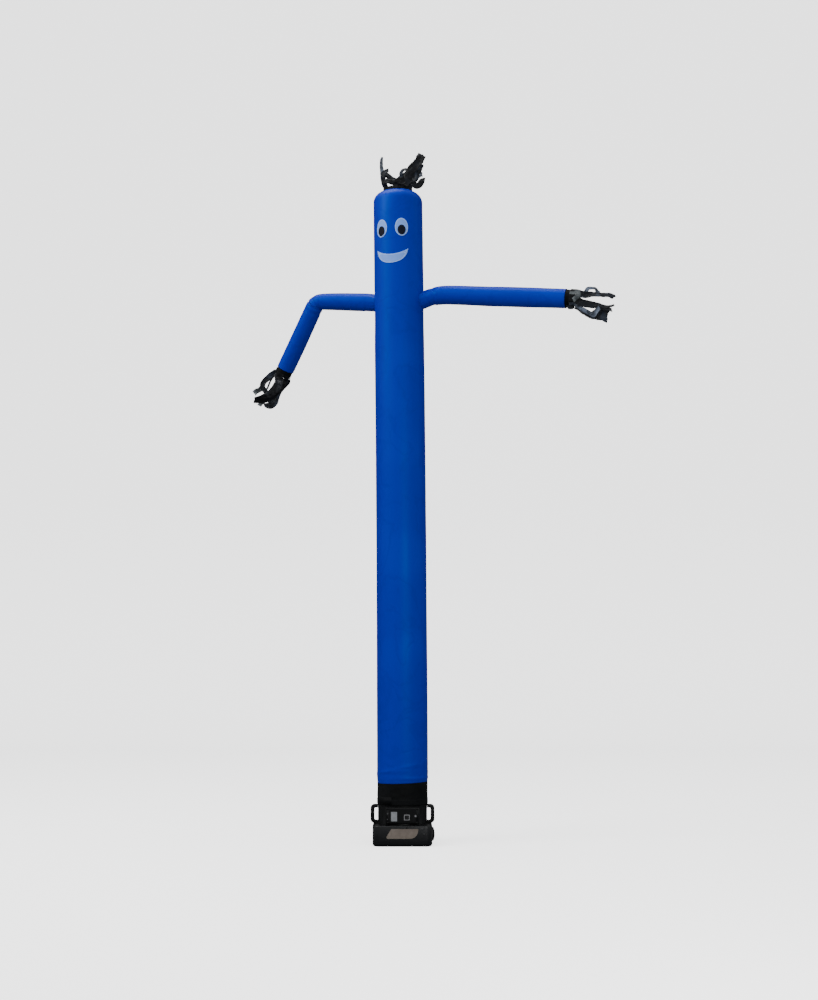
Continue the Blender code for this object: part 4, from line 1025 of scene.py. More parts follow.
# ---- the figure ---------------------------------------------------------------------------------
@dataclass
class TubeLine:
    """The tube's leaning centre line and the wall that stands round it."""

    radius: float = 0.2285
    foot: float = 0.557
    crown: float = 5.878
    crown_rise: float = 0.098
    crown_core: float = 0.120
    lean: float = 0.046
    lean_early: float = 0.45
    waist: float = 4.74
    waist_spread: float = 0.12
    waist_in: float = 0.0022
    figure_turn: float = 17.0
    arms_at: float = 4.945
    billow: float = 0.0016

    def middle(self, z: float) -> Vector:
        """The centre line at a height."""
        share = max(0.0, (z - self.foot) / (self.crown - self.foot))
        return Vector((-self.lean * share * (self.lean_early + (1 - self.lean_early) * share), 0.0, z))

    def radius_at(self, z: float) -> float:
        """The wall's radius at a height, a little drawn in below the arms."""
        return self.radius - self.waist_in * bell(z, self.waist, self.waist_spread)

    def swell(self, turn: float, z: float) -> float:
        """How far the full cloth stands out here."""
        out = Vector((cos(turn), sin(turn), z * 0.55))
        return self.billow * cloudy(out, 1.9, 3.0) + 0.3 * self.billow * cloudy(out, 7.0, 8.0)

    def point(self, turn: float, z: float, lift: float = 0.0) -> Vector:
        """The place at a turn from +X, anticlockwise from above, a height, and a lift off the wall."""
        reach = self.radius_at(z) + self.swell(turn, z) + lift
        return self.middle(z) + Vector((reach * cos(turn), reach * sin(turn), 0.0))

    def foot_folds(self, turn: float, z: float) -> float:
        """Shallow slanting folds where the tube is sewn to its sleeve, and the seam drawn in."""
        lift = 0.0
        for start, slope, depth, wide in ((0.592, 0.018, 0.0040, 0.010), (0.628, -0.026, 0.0034, 0.012),
                                          (0.674, 0.036, 0.0026, 0.015)):
            middle = start + slope * sin(turn + start * 40.0)
            share = 0.55 + 0.45 * sin(2.0 * turn + start * 90.0)
            lift += depth * share * bell(z, middle, wide)
        return lift - 0.0035 * bell(z, self.foot, 0.012)

    def facing(self, degrees: float) -> float:
        """The turn of a direction given in degrees from the front, towards +X."""
        return radians(degrees - 90.0)

    def arms_line(self) -> tuple[Vector, Vector]:
        """Unit vectors along the right arm and towards the rear."""
        turn = radians(self.figure_turn)
        return Vector((cos(turn), -sin(turn), 0)), Vector((sin(turn), cos(turn), 0))

    def arm_point(self, station: Station, side: int) -> Vector:
        """A station's place.  side is 1 for the right arm and -1 for the left."""
        line, rear = self.arms_line()
        root = self.middle(self.arms_at)
        return Vector((root.x, root.y, station.rise)) + side * station.reach * line + station.back * rear


class Armhole(NamedTuple):
    """Where an arm is sewn in: the middle of its seam, the arm's direction and its radius."""

    middle: Vector
    outward: Vector
    radius: float

    def away(self, place: Vector) -> tuple[float, Vector]:
        """A place's distance from the arm's axis, and the unit vector from the axis to it."""
        across = place - self.middle
        across = across - self.outward * across.dot(self.outward)
        return across.length, across.normalized()


@dataclass
class BodyTube:
    """The blue tube: straight wall, seam up the back, two armholes, and the gathered crown."""

    line: TubeLine
    armholes: list[Armhole]
    sides: int = 144
    foot_lap: float = 0.012
    seam_tilt: float = 0.008
    back_seam: float = radians(73.0)
    ring_step: float = 0.028
    close_step: float = 0.010
    close_to_arms: float = 0.16
    close_below: float = 0.72
    folds_below: float = 0.76
    arms_pull_within: float = 0.35
    hole_pulls_within: float = 0.30
    tilt_fades_over: float = 1.04
    gathers_from: float = 20.0
    vent_angle: float = 82.0
    crown_steps: int = 22
    gathers: int = 24
    gather_depth: float = 0.0042
    thickness: float = 0.0016
    crown_arc: float = field(init=False, default=0.0)

    def heights(self) -> list[float]:
        """Where the rings of the straight wall lie, closer at the arms and at the foot."""
        def step(z: float) -> float:
            """Close rings where the wall is creased."""
            close = abs(z - self.line.arms_at) < self.close_to_arms or z < self.close_below
            return self.close_step if close else self.ring_step
        return steps_between(self.line.foot - self.foot_lap, self.line.crown, step)

    def seam_ridge(self, turn: float, z: float) -> float:
        """The felled seam up the back, drawn in with small puckers beside it."""
        apart = turn_apart(turn, self.back_seam) * self.line.radius
        pucker = 0.0009 * sin(z * 210.0 + 2.0 * sin(z * 31.0)) * exp(-(apart / 0.022) ** 2)
        return pucker + (0.0009 if apart < 0.0065 else -0.0022 * exp(-(apart - 0.0065) / 0.012))

    def arm_pull(self, place: Vector) -> float:
        """How the wall dips and puckers towards an arm's seam."""
        lift = 0.0
        for hole in self.armholes:
            if (place - hole.middle).length > self.hole_pulls_within:
                continue
            distance, across = hole.away(place)
            beyond = max(distance - hole.radius, 0.0)
            round_arm = atan2(across.z, across.dot(hole.outward.cross(AXIS_Z)))
            ripple = sin(round_arm * 15.0 + 2.2 * sin(round_arm * 3.0))
            lift -= 0.0016 * exp(-beyond / 0.014)
            uneven = 0.6 + 0.4 * sin(round_arm * 2.0 + 1.0)
            lift += 0.0010 * ripple * exp(-beyond / 0.030) * uneven
            lift += 0.0018 * sin(round_arm * 4.0 + 0.7) * exp(-beyond / 0.085)
        return lift

    def wall_point(self, turn: float, z: float) -> Vector:
        """A place on the finished wall."""
        lift = self.seam_ridge(turn, z)
        if z < self.folds_below:
            lift += self.line.foot_folds(turn, z)
        place = self.line.point(turn, z, lift)
        if abs(z - self.line.arms_at) < self.arms_pull_within:
            place = self.line.point(turn, z, lift + self.arm_pull(place))
        tilt = self.seam_tilt * max(0.0, 1.0 - (z - self.line.foot + self.foot_lap) / self.tilt_fades_over)
        return place + AXIS_Z * tilt * cos(turn)

    def crown_point(self, turn: float, angle: float) -> Vector:
        """A place on the crown's shoulder, which is gathered towards the vent."""
        line, rise = self.line, radians(angle)
        wide = line.crown_core + (line.radius - line.crown_core) * cos(rise)
        z = line.crown + line.crown_rise * sin(rise)
        share = max(0.0, (angle - self.gathers_from) / (self.vent_angle - self.gathers_from)) ** 1.3
        fold = sin(self.gathers * turn + 1.6 * sin(3.0 * turn) + 0.8 * sin(7.0 * turn))
        size = 0.75 + 0.35 * sin(5.0 * turn + 1.0)
        lift = self.gather_depth * share * size * (0.5 + 0.5 * fold) + line.swell(turn, z) * (1.0 - share)
        seam = self.seam_ridge(turn, z) * (1.0 - share)
        reach = wide + (lift + seam) * cos(rise * 0.8)
        up = lift * sin(rise * 0.8)
        return line.middle(z) + Vector((reach * cos(turn), reach * sin(turn), up))

    def cut_armholes(self, bm: Shape) -> None:
        """Open the wall for the arms and draw each hole's border onto its seam."""
        for hole in self.armholes:
            near = [f for f in bm.faces if (f.calc_center_median() - hole.middle).length < hole.radius * 1.3
                    and hole.away(f.calc_center_median())[0] < hole.radius]
            bmesh.ops.delete(bm, geom=near, context="FACES")
            border = {v for e in bm.edges if len(e.link_faces) == 1 for v in e.verts
                      if (v.co - hole.middle).length < hole.radius * 1.5}
            for vert in border:
                distance, across = hole.away(vert.co)
                place = vert.co + across * (hole.radius - distance)
                middle = self.line.middle(place.z)
                turn = atan2(place.y - middle.y, place.x - middle.x)
                vert.co = self.wall_point(turn % tau, place.z)

    def build(self) -> Piece:
        """Make the tube and dress it in its cloth."""
        girth = tau * self.line.radius
        skin = Skin(self.sides, girth)
        start = self.line.foot - self.foot_lap
        for z in self.heights():
            skin.grow(z - start, lambda turn, z=z: self.wall_point(turn, z))
        straight, before = self.line.crown - start, None
        for k in range(1, self.crown_steps + 1):
            angle = self.vent_angle * k / self.crown_steps
            place = self.crown_point(0.0, angle)
            self.crown_arc += (place - (before or self.wall_point(0.0, self.line.crown))).length
            before = place
            skin.grow(straight + self.crown_arc, lambda turn, a=angle: self.crown_point(turn, a))
        bm = skin.finish()
        self.cut_armholes(bm)
        tube = as_piece("dancer_body", bm)
        wall(tube, self.thickness)
        seam = self.back_seam / tau * girth
        rows = (Stitching(Runs.ALONG, (seam - 0.004, seam + 0.004)),
                Stitching(Runs.ROUND, (0.008,)))
        dress(tube, cloth("blue body cloth", BLUE, *rows), Slot.BLUE, Body.DANCER, "body_tube")
        return tube


@dataclass
class Patch:
    """A flat shape sewn on the tube's wall: an eye, a pupil or the mouth."""

    line: TubeLine
    name: str
    facing: float
    half_angle: float
    lift: float
    edges: Callable[[float], tuple[float, float]]
    finish: ClothFinish
    slot: Slot
    rests_on: str
    thickness: float = 0.0009
    sides: int = 96
    rings: int = 9
    border: float = 0.004

    def place(self, x: float, y: float, puff: float) -> Vector:
        """Where a point of the unit disc lies on the wall."""
        low, high = self.edges(x)
        share = y / sqrt(max(1.0 - x * x, 1e-6)) if abs(x) < 0.9999 else 0.0
        z = low + (high - low) * (share + 1.0) / 2.0
        turn = self.line.facing(self.facing + self.half_angle * x)
        return self.line.point(turn % tau, z, self.lift + puff)

    def build(self) -> Piece:
        """Make the patch: a turned-under border, then cloth that lies close to the wall."""
        bm = bmesh.new()
        bmesh.ops.create_circle(bm, segments=self.sides, radius=1.0, cap_ends=True)
        low, high = self.edges(0.0)
        across = self.line.radius * radians(self.half_angle) * 2.0
        reach = min(across, high - low) / 2.0
        inner = list(bm.faces)
        for _ in range(self.rings):
            bmesh.ops.inset_region(bm, faces=inner, thickness=1 / (self.rings + 1), use_boundary=True)
        lay_round_map(bm, tau * reach, lambda vert: (atan2(vert.co.y, vert.co.x) % tau,
                                                          (1.0 - vert.co.xy.length) * reach))
        for vert in bm.verts:
            x, y, far = vert.co.x, vert.co.y, 1.0 - vert.co.xy.length
            pucker = 0.0006 * sin(atan2(y, x) * 26.0 + 3.0 * x) * bell(far, 0.14, 0.12)
            puff = 0.0008 * bell(far, 0.0, 0.12) - 0.0006 * bell(far, 0.16, 0.08) + pucker
            vert.co = self.place(x, y, max(puff, -0.0004))
        middle = self.place(0.0, 0.0, 0.0)
        bm.normal_update()
        sample = min(bm.faces, key=lambda f: (f.calc_center_median() - middle).length)
        if sample.normal.dot(middle - self.line.middle(middle.z)) < 0:
            bmesh.ops.reverse_faces(bm, faces=bm.faces)
        area = sum(f.calc_area() for f in bm.faces)
        piece = as_piece(self.name + "_cloth", bm)
        wall(piece, self.thickness, offset=1.0)
        finish = cloth(self.finish.name + " sewn", self.finish,
                       Stitching(Runs.ROUND, (self.border, self.border * 1.9)))
        dress(piece, finish, self.slot, Body.DANCER, self.name)
        return piece


@dataclass
class Face:
    """Two eyes with their pupils, and a smile."""

    line: TubeLine
    spread: float = 25.0
    eye_half: float = 15.5
    eye_z: tuple[float, float] = (5.501, 5.670)
    pupil_half: float = 9.3
    pupil_z: tuple[float, float] = (5.513, 5.606)
    mouth_half: float = 40.0
    mouth_corner: float = 5.388
    mouth_top: float = 5.335
    mouth_low: float = 5.251
    white_lift: float = 0.0010
    pupil_lift: float = 0.0032
    blunt: float = 0.03

    def oval(self, low: float, high: float) -> Callable[[float], tuple[float, float]]:
        """Edges of an upright oval."""
        middle, half = (low + high) / 2, (high - low) / 2

        def edges(share: float) -> tuple[float, float]:
            """Low and high edge at a share of the width."""
            reach = half * sqrt(max(1.0 - share * share, self.blunt))
            return middle - reach, middle + reach
        return edges

    def smile(self, share: float) -> tuple[float, float]:
        """Low and high edge of the smile at a share of its width."""
        high = self.mouth_top + (self.mouth_corner - self.mouth_top) * share ** 2
        depth = (self.mouth_top - self.mouth_low) * sqrt(max(1.0 - abs(share) ** 3.5, self.blunt))
        return high - depth, high

    def build(self) -> list[Piece]:
        """Make the face's patches."""
        made, turned = [], -self.line.figure_turn
        for side, name in ((-1, "left"), (1, "right")):
            facing = turned + side * self.spread
            eye = "eye_" + name
            made.append(Patch(self.line, eye, facing, self.eye_half, self.white_lift,
                              self.oval(*self.eye_z), WHITE, Slot.WHITE, "dancer_body").build())
            made.append(Patch(self.line, "pupil_" + name, facing, self.pupil_half, self.pupil_lift,
                              self.oval(*self.pupil_z), PUPIL, Slot.PUPIL, eye + "_cloth",
                              border=0.003).build())
        made.append(Patch(self.line, "mouth", turned, self.mouth_half, self.white_lift, self.smile,
                          WHITE, Slot.WHITE, "dancer_body", sides=144).build())
        return made


class Crease(NamedTuple):
    """A crease across a limb: its place along, its width, depth, how deep it stays on the outer side."""

    at: float
    wide: float
    deep: float
    outer: float
    slant: float = 0.0


@dataclass
class Limb:
    """A blue arm: a tube of cloth along a line, sewn into the body, with a hem that holds its cuff."""

    name: str
    nodes: tuple[str, ...]
    line: TubeLine
    side: int
    path: Line
    creases: list[Crease]
    sides: int = 72
    ring_step: float = 0.013
    root_depth: float = 0.006
    seam_turn: float = radians(200.0)
    thickness: float = 0.0015
    hem: float = 0.012
    squares_over: float = 0.10
    creased_step: float = 0.005
    end_step: float = 0.007
    crumple: float = 0.0011

    def axes(self, direction: Vector) -> tuple[Vector, Vector]:
        """Unit vectors across the limb, to its upper, outer side and to the front."""
        front = -self.line.arms_line()[1]
        front = (front - direction * front.dot(direction)).normalized()
        return self.side * front.cross(direction), front

    def root_distance(self, turn: float) -> float:
        """How far along the path the limb's edge lies inside the tube's wall."""
        distance = 0.0
        for _ in range(60):
            point, direction, radius = self.path.at(distance)
            outer, front = self.axes(direction)
            place = point + radius * (cos(turn) * outer + sin(turn) * front)
            middle = self.line.middle(place.z)
            if (place - middle).xy.length > self.line.radius - self.root_depth:
                break
            distance += 0.0012
        return distance

    def relief(self, turn: float, distance: float) -> float:
        """How far the cloth stands out or in."""
        length = self.path.length
        inner = (1.0 - cos(turn)) / 2.0
        out = Vector((cos(turn), sin(turn), distance * 3.0))
        lift = self.crumple * cloudy(out, 1.6, 5.0 + self.side)
        ripple = sin(turn * 13.0 + 2.0 * sin(turn * 3.0))
        lift += 0.0010 * ripple * exp(-max(distance - 0.03, 0.0) / 0.035)
        lift += 0.0014 * sin(turn * 5.0 + 1.0) * exp(-max(distance - 0.03, 0.0) / 0.10)
        lift += 0.0050 * inner * exp(-max(distance - 0.02, 0.0) / 0.030)
        for crease in self.creases:
            middle = crease.at + crease.slant * sin(turn)
            share = crease.outer + (1.0 - crease.outer) * inner
            lift -= crease.deep * share * bell(distance, middle, crease.wide)
            lift += 0.35 * crease.deep * share * bell(distance, middle + 2.2 * crease.wide, crease.wide * 1.2)
        apart = turn_apart(turn, self.seam_turn) * 0.085
        lift += 0.0008 if apart < 0.006 else -0.0014 * exp(-(apart - 0.006) / 0.010)
        lift += 0.0006 * sin(distance * 230.0) * exp(-(apart / 0.016) ** 2)
        edge = length - distance
        lift -= 0.0012 * bell(edge, self.hem + 0.006, 0.006)
        lift += 0.0008 * sin(turn * 22.0) * bell(edge, self.hem + 0.014, 0.012)
        return max(lift, -0.0003) if edge < self.hem + 0.002 else lift

    def surface(self, turn: float, distance: float) -> Vector:
        """A place on the limb's cloth."""
        point, direction, radius = self.path.at(distance)
        outer, front = self.axes(direction)
        reach = radius + self.relief(turn, distance)
        return point + reach * (cos(turn) * outer + sin(turn) * front)

    def build(self) -> Piece:
        """Make the limb and dress it in its cloth."""
        girth = tau * self.path.at(self.path.length / 2)[2]
        roots, over = {}, self.squares_over

        def place(turn: float, distance: float) -> Vector:
            """Rings near the wall follow its curve, further out they stand square."""
            if turn not in roots:
                roots[turn] = self.root_distance(turn)
            if distance < over:
                distance = roots[turn] + distance / over * (over - roots[turn])
            return self.surface(turn, distance)

        stops = steps_between(0.0, self.path.length, self.step)
        piece = as_piece(self.name, round_cloth(self.sides, girth, stops, place))
        wall(piece, self.thickness)
        seam, end = self.seam_turn / tau * girth, self.path.length
        rows = (Stitching(Runs.ALONG, (seam - 0.003, seam + 0.003)),
                Stitching(Runs.ROUND, (end - self.hem + 0.002, end - 0.003)))
        dress(piece, cloth("blue cloth of " + self.name, BLUE, *rows), Slot.BLUE, Body.DANCER, *self.nodes)
        return piece

    def step(self, distance: float) -> float:
        """The ring step wanted here: finer at the root, at the hem and across creases."""
        close = any(abs(distance - c.at) < 4 * c.wide + abs(c.slant) for c in self.creases)
        at_end = distance < 0.12 or distance > self.path.length - 0.05
        return self.creased_step if close else self.end_step if at_end else self.ring_step


@dataclass
class Hem:
    """The open-ended black hem that ribbons are sewn on: its line, facets and unit vectors across."""

    start: Vector
    start_radius: float
    end: Vector
    end_radius: float
    across: Vector
    front: Vector
    facets: int
    cloth_gap: float = 0.0003
    cad_cloth: float = 0.002
    thickness: float = 0.0014
    ring_step: float = 0.0035

    def anchor(self, facet: int, distance: float) -> tuple[Vector, Vector]:
        """A place on a facet, and the facet's outward direction.

        Args:
            facet: the facet, counted round.
            distance: how far back from the open end.

        Returns:
            The place, just off the hem's cloth, and the direction.
        """
        share = 1.0 - distance / (self.end - self.start).length
        angle = tau * (facet + 0.5) / self.facets
        normal = cos(angle) * self.across + sin(angle) * self.front
        radius = self.start_radius + (self.end_radius - self.start_radius) * share
        radius *= cos(pi / self.facets)
        lift = radius + self.cloth_gap + self.cad_cloth / 2
        return self.start.lerp(self.end, share) + normal * lift, normal

    def build(self, name: str, node: str, base: ClothFinish, held_by: str, sides: int = 96,
              waves: float = 0.0022) -> Piece:
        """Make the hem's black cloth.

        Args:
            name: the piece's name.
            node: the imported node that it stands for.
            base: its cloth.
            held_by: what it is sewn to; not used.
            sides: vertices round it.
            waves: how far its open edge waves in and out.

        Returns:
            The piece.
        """
        length = (self.end - self.start).length
        girth = tau * (self.start_radius + self.end_radius) / 2
        shrink = cos(pi / self.facets)

        def place(turn: float, distance: float) -> Vector:
            """The hem's wall, with its folded edge and soft waves inwards."""
            share = distance / length
            radius = (self.start_radius + (self.end_radius - self.start_radius) * share) * shrink
            wave = 0.5 + 0.5 * sin(turn * 9.0 + 2.0 * sin(turn * 2.0))
            radius -= waves * share ** 2 * wave
            radius -= 0.0007 * bell(distance, length - 0.014, 0.0025)
            pucker = 0.5 + 0.5 * sin(turn * 31.0)
            radius -= 0.0006 * pucker * bell(distance, length * 0.45, length * 0.3)
            out = cos(turn) * self.across + sin(turn) * self.front
            return self.start.lerp(self.end, share) + out * radius

        stops = steps_between(0.0, length, lambda d: self.ring_step)
        piece = as_piece(name, round_cloth(sides, girth, stops, place))
        wall(piece, self.thickness)
        finish = cloth("black hem of " + name, base, Stitching(Runs.ROUND, (length - 0.013, length - 0.003)))
        dress(piece, finish, Slot.BLACK, Body.DANCER, node)
        return piece


@dataclass
class RibbonCloth:
    """A loose strip of thin black cloth: crumpled, cupped along its middle, cut or torn at its end."""

    prefix: str
    strip: Strip
    hem: Hem
    finish: ClothFinish
    sewn_on: str
    sewn: float = 0.029
    straight: float = 0.009
    step: float = 0.006
    columns: int = 10
    least_rows: int = 12
    knot_steps: int = 8
    hangs_free_over: float = 0.05
    tip_from: float = 0.86
    crumple: float = 0.0042
    fuller: float = 0.16
    ragged: float = 0.09
    slant: float = 0.30
    thickness: float = 0.0009

    def frames(self) -> tuple[Line, list[Vector]]:
        """The ribbon's middle line and the unit vectors across it at the line's own knots."""
        strip, hem = self.strip, self.hem
        sewn, normal = hem.anchor(strip.facet, strip.leaves + self.sewn)
        leaving, _ = hem.anchor(strip.facet, strip.leaves - self.straight)
        axis = (leaving - sewn).normalized()
        knots = [leaving] + [hem.end + Vector((f.out, f.back, f.up)) for f in strip.folds]
        last = len(knots) - 1
        widths = [axis.cross(normal).normalized()]
        for k, fold in enumerate(strip.folds, start=1):
            direction = (knots[min(k + 1, last)] - knots[k - 1]).normalized()
            level = direction.cross(AXIS_Y).normalized()
            lie = radians(fold.lie)
            width = cos(lie) * level + sin(lie) * AXIS_Y
            widths.append(width if width.dot(widths[-1]) >= 0 else -width)
        before = knots[1] - 2 * axis * (knots[1] - leaving).length
        ends = [before, *knots, knots[-1] * 2 - knots[-2]]
        turns = [widths[0], *widths, widths[-1] * 2 - widths[-2]]
        points, across = [sewn, sewn.lerp(leaving, 0.5)], [widths[0], widths[0]]
        for k in range(last):
            for fine in range(self.knot_steps + (k == last - 1)):
                points.append(Line.between(ends[k:k + 4], fine / self.knot_steps))
                across.append(Line.between(turns[k:k + 4], fine / self.knot_steps))
        return Line(points, [0.0] * len(points), fine=1), across

    def build(self) -> Piece:
        """Make the ribbon and dress it in its cloth."""
        line, across = self.frames()
        rows = max(self.least_rows, round(line.length / self.step))
        bm = bmesh.new()
        bmesh.ops.create_grid(bm, x_segments=self.columns, y_segments=rows, size=0.5)
        lay_flat_map(bm, lambda vert: (vert.co.x * self.strip.width, (vert.co.y + 0.5) * line.length))
        seed = 3.7 * self.strip.facet + 11.0 * len(self.strip.name)
        for vert in bm.verts:
            vert.co = self.place(vert.co.x, vert.co.y + 0.5, line, across, seed)
        bmesh.ops.recalc_face_normals(bm, faces=bm.faces)
        name = self.prefix + "_" + self.strip.name
        piece = as_piece(name + "_ribbon", bm)
        wall(piece, self.thickness, offset=0.0)
        dress(piece, self.finish, Slot.RIBBON, Body.DANCER, name)
        return piece

    def place(self, x: float, share: float, line: Line, across: list[Vector], seed: float) -> Vector:
        """Where a point of the flat strip lies.

        Args:
            x: across the strip, from -0.5 to 0.5.
            share: along it, from 0 at its hem to 1 at its free end.
            line: its middle line.
            across: unit vectors across it at the line's knots.
            seed: what sets its crumples apart from another's.

        Returns:
            The place.
        """
        wide = self.strip.width
        distance = share * line.length
        free = min(1.0, max(0.0, (distance - self.sewn) / self.hangs_free_over))
        tip = max(0.0, (share - self.tip_from) / (1.0 - self.tip_from))
        torn = 0.5 + (x if self.slant > 0 else -x) + 0.35 * cloudy(Vector((x * 6.0, 0, 0)), 1.0, seed)
        distance -= tip * wide * abs(self.slant) * max(0.0, torn)
        point, direction, _ = line.at(distance)
        k = min(bisect_right(line.marks, distance), len(line.marks) - 1)
        mix = (distance - line.marks[k - 1]) / (line.marks[k] - line.marks[k - 1])
        width = across[k - 1].lerp(across[k], min(max(mix, 0.0), 1.0))
        width = (width - direction * width.dot(direction)).normalized()
        normal = direction.cross(width)
        edge = cloudy(Vector((distance * 38.0, 2.0 if x > 0 else -2.0, 0.0)), 1.0, seed)
        uneven = edge + 0.6 * cloudy(Vector((distance * 11.0, 0, 0)), 1.0, seed)
        broad = wide * (1.0 + free * (self.fuller + self.ragged * uneven))
        flat = Vector((x * wide, distance, 0.0))
        rough = cloudy(flat, 34.0, seed) + 0.55 * (1.0 - 2.0 * abs(cloudy(flat, 62.0, seed + 5.0)))
        cup = 0.16 * wide * (4.0 * x * x - 0.35) * sin(distance * 17.0 + seed)
        pleat = 0.0016 * sin(x * 15.0 + 2.4 * sin(distance * 22.0 + seed))
        limp = min(1.0, wide / 0.04)
        return point + width * x * broad \
            + normal * free * (self.crumple * rough * limp + cup + pleat * limp ** 2)


def sew_ribbons(prefix: str, strips: list[Strip], hem: Hem, sewn_on: str, plain: ClothFinish,
                looks: dict[str, ClothFinish], cuts: dict[str, dict[str, float]],
                **usual: float) -> list[Piece]:
    """Make the ribbons of a hem.

    Args:
        prefix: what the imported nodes' names start with.
        strips: the ribbons.
        hem: what they are sewn on.
        sewn_on: its piece's name.
        plain: the finish of most of them.
        looks: the finish of the others.
        cuts: what sets a ribbon's cut apart from the usual one.
        usual: how they are cut otherwise.

    Returns:
        The pieces.
    """
    return [RibbonCloth(prefix, strip, hem, looks.get(strip.name, plain), sewn_on,
                        **{**usual, **cuts.get(strip.name, {})}).build() for strip in strips]


class Hair:
    """The black band round the vent and the ribbons that blow up out of it."""

    LOW, HIGH, RADIUS, FACETS = 5.966, 6.010, 0.1338, 24

    def __init__(self, line: TubeLine) -> None:
        """Place the band on the crown."""
        low, high = line.middle(self.LOW), line.middle(self.HIGH)
        self.band = Hem(low, self.RADIUS, high, self.RADIUS, AXIS_X, -AXIS_Y, self.FACETS)

    def build(self) -> list[Piece]:
        """Make the band and its ribbons."""
        # the looks give some hair ribbons painted sheen; the others take the copy with painted shade
        looks = {"tall_left": RIBBON_SHEEN_PAINTED, "small_loop": RIBBON, "back_flap": RIBBON_SHEEN_PAINTED,
                 "sweep": RIBBON, "flap_right": RIBBON, "jagged_right": RIBBON}
        cuts = {"tall_right": {"ragged": 0.22, "slant": 0.5}, "jagged_right": {"ragged": 0.30},
                "flap_right": {"ragged": 0.25, "fuller": 0.30}, "stub_left": {"fuller": 0.35},
                "small_loop": {"fuller": 0.50}, "low_cross": {"fuller": 0.50}}
        band = self.band.build("crown_hem", "crown_band", BLACK, "dancer_body", waves=0.003)
        return [band, *sew_ribbons("hair", HAIR_RIBBONS, self.band, "crown_hem", RIBBON_SHADE_PAINTED, looks, cuts,
                                   ragged=0.12)]


class Hand:
    """An arm's black cuff with its ribbons."""

    LAP, REACH, FACETS = 0.012, 0.070, 20
    INSET, TAPER, SIGHT = 0.0029, 0.002, 0.2

    def __init__(self, prefix: str, limb: Limb, strips: list[Strip], looks: dict[str, ClothFinish]) -> None:
        """Place the cuff on the limb's end.

        Args:
            prefix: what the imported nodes' names start with.
            limb: the limb.
            strips: the ribbons.
            looks: the finish of those ribbons that aren't plain.
        """
        self.prefix, self.strips, self.looks, self.held_by = prefix, strips, looks, limb.name
        end, _, radius = limb.path.at(limb.path.length)
        before = limb.path.at(limb.path.length - self.SIGHT)[0]
        along = (end - before).normalized()
        outer, front = limb.axes(along)
        inner = radius - self.INSET
        self.cuff = Hem(end - along * self.LAP, inner, end + along * self.REACH, inner - self.TAPER, outer,
                        front, self.FACETS)

    def build(self) -> list[Piece]:
        """Make the cuff and its ribbons."""
        name = self.prefix + "_hem"
        cuff = self.cuff.build(name, self.prefix + "_cuff", BLACK, self.held_by)
        cuts = {"lower": {"slant": 0.4}, "flag": {"slant": -0.3}, "knot": {"fuller": 0.40}}
        return [cuff, *sew_ribbons(self.prefix, self.strips, self.cuff, name, RIBBON, self.looks, cuts)]


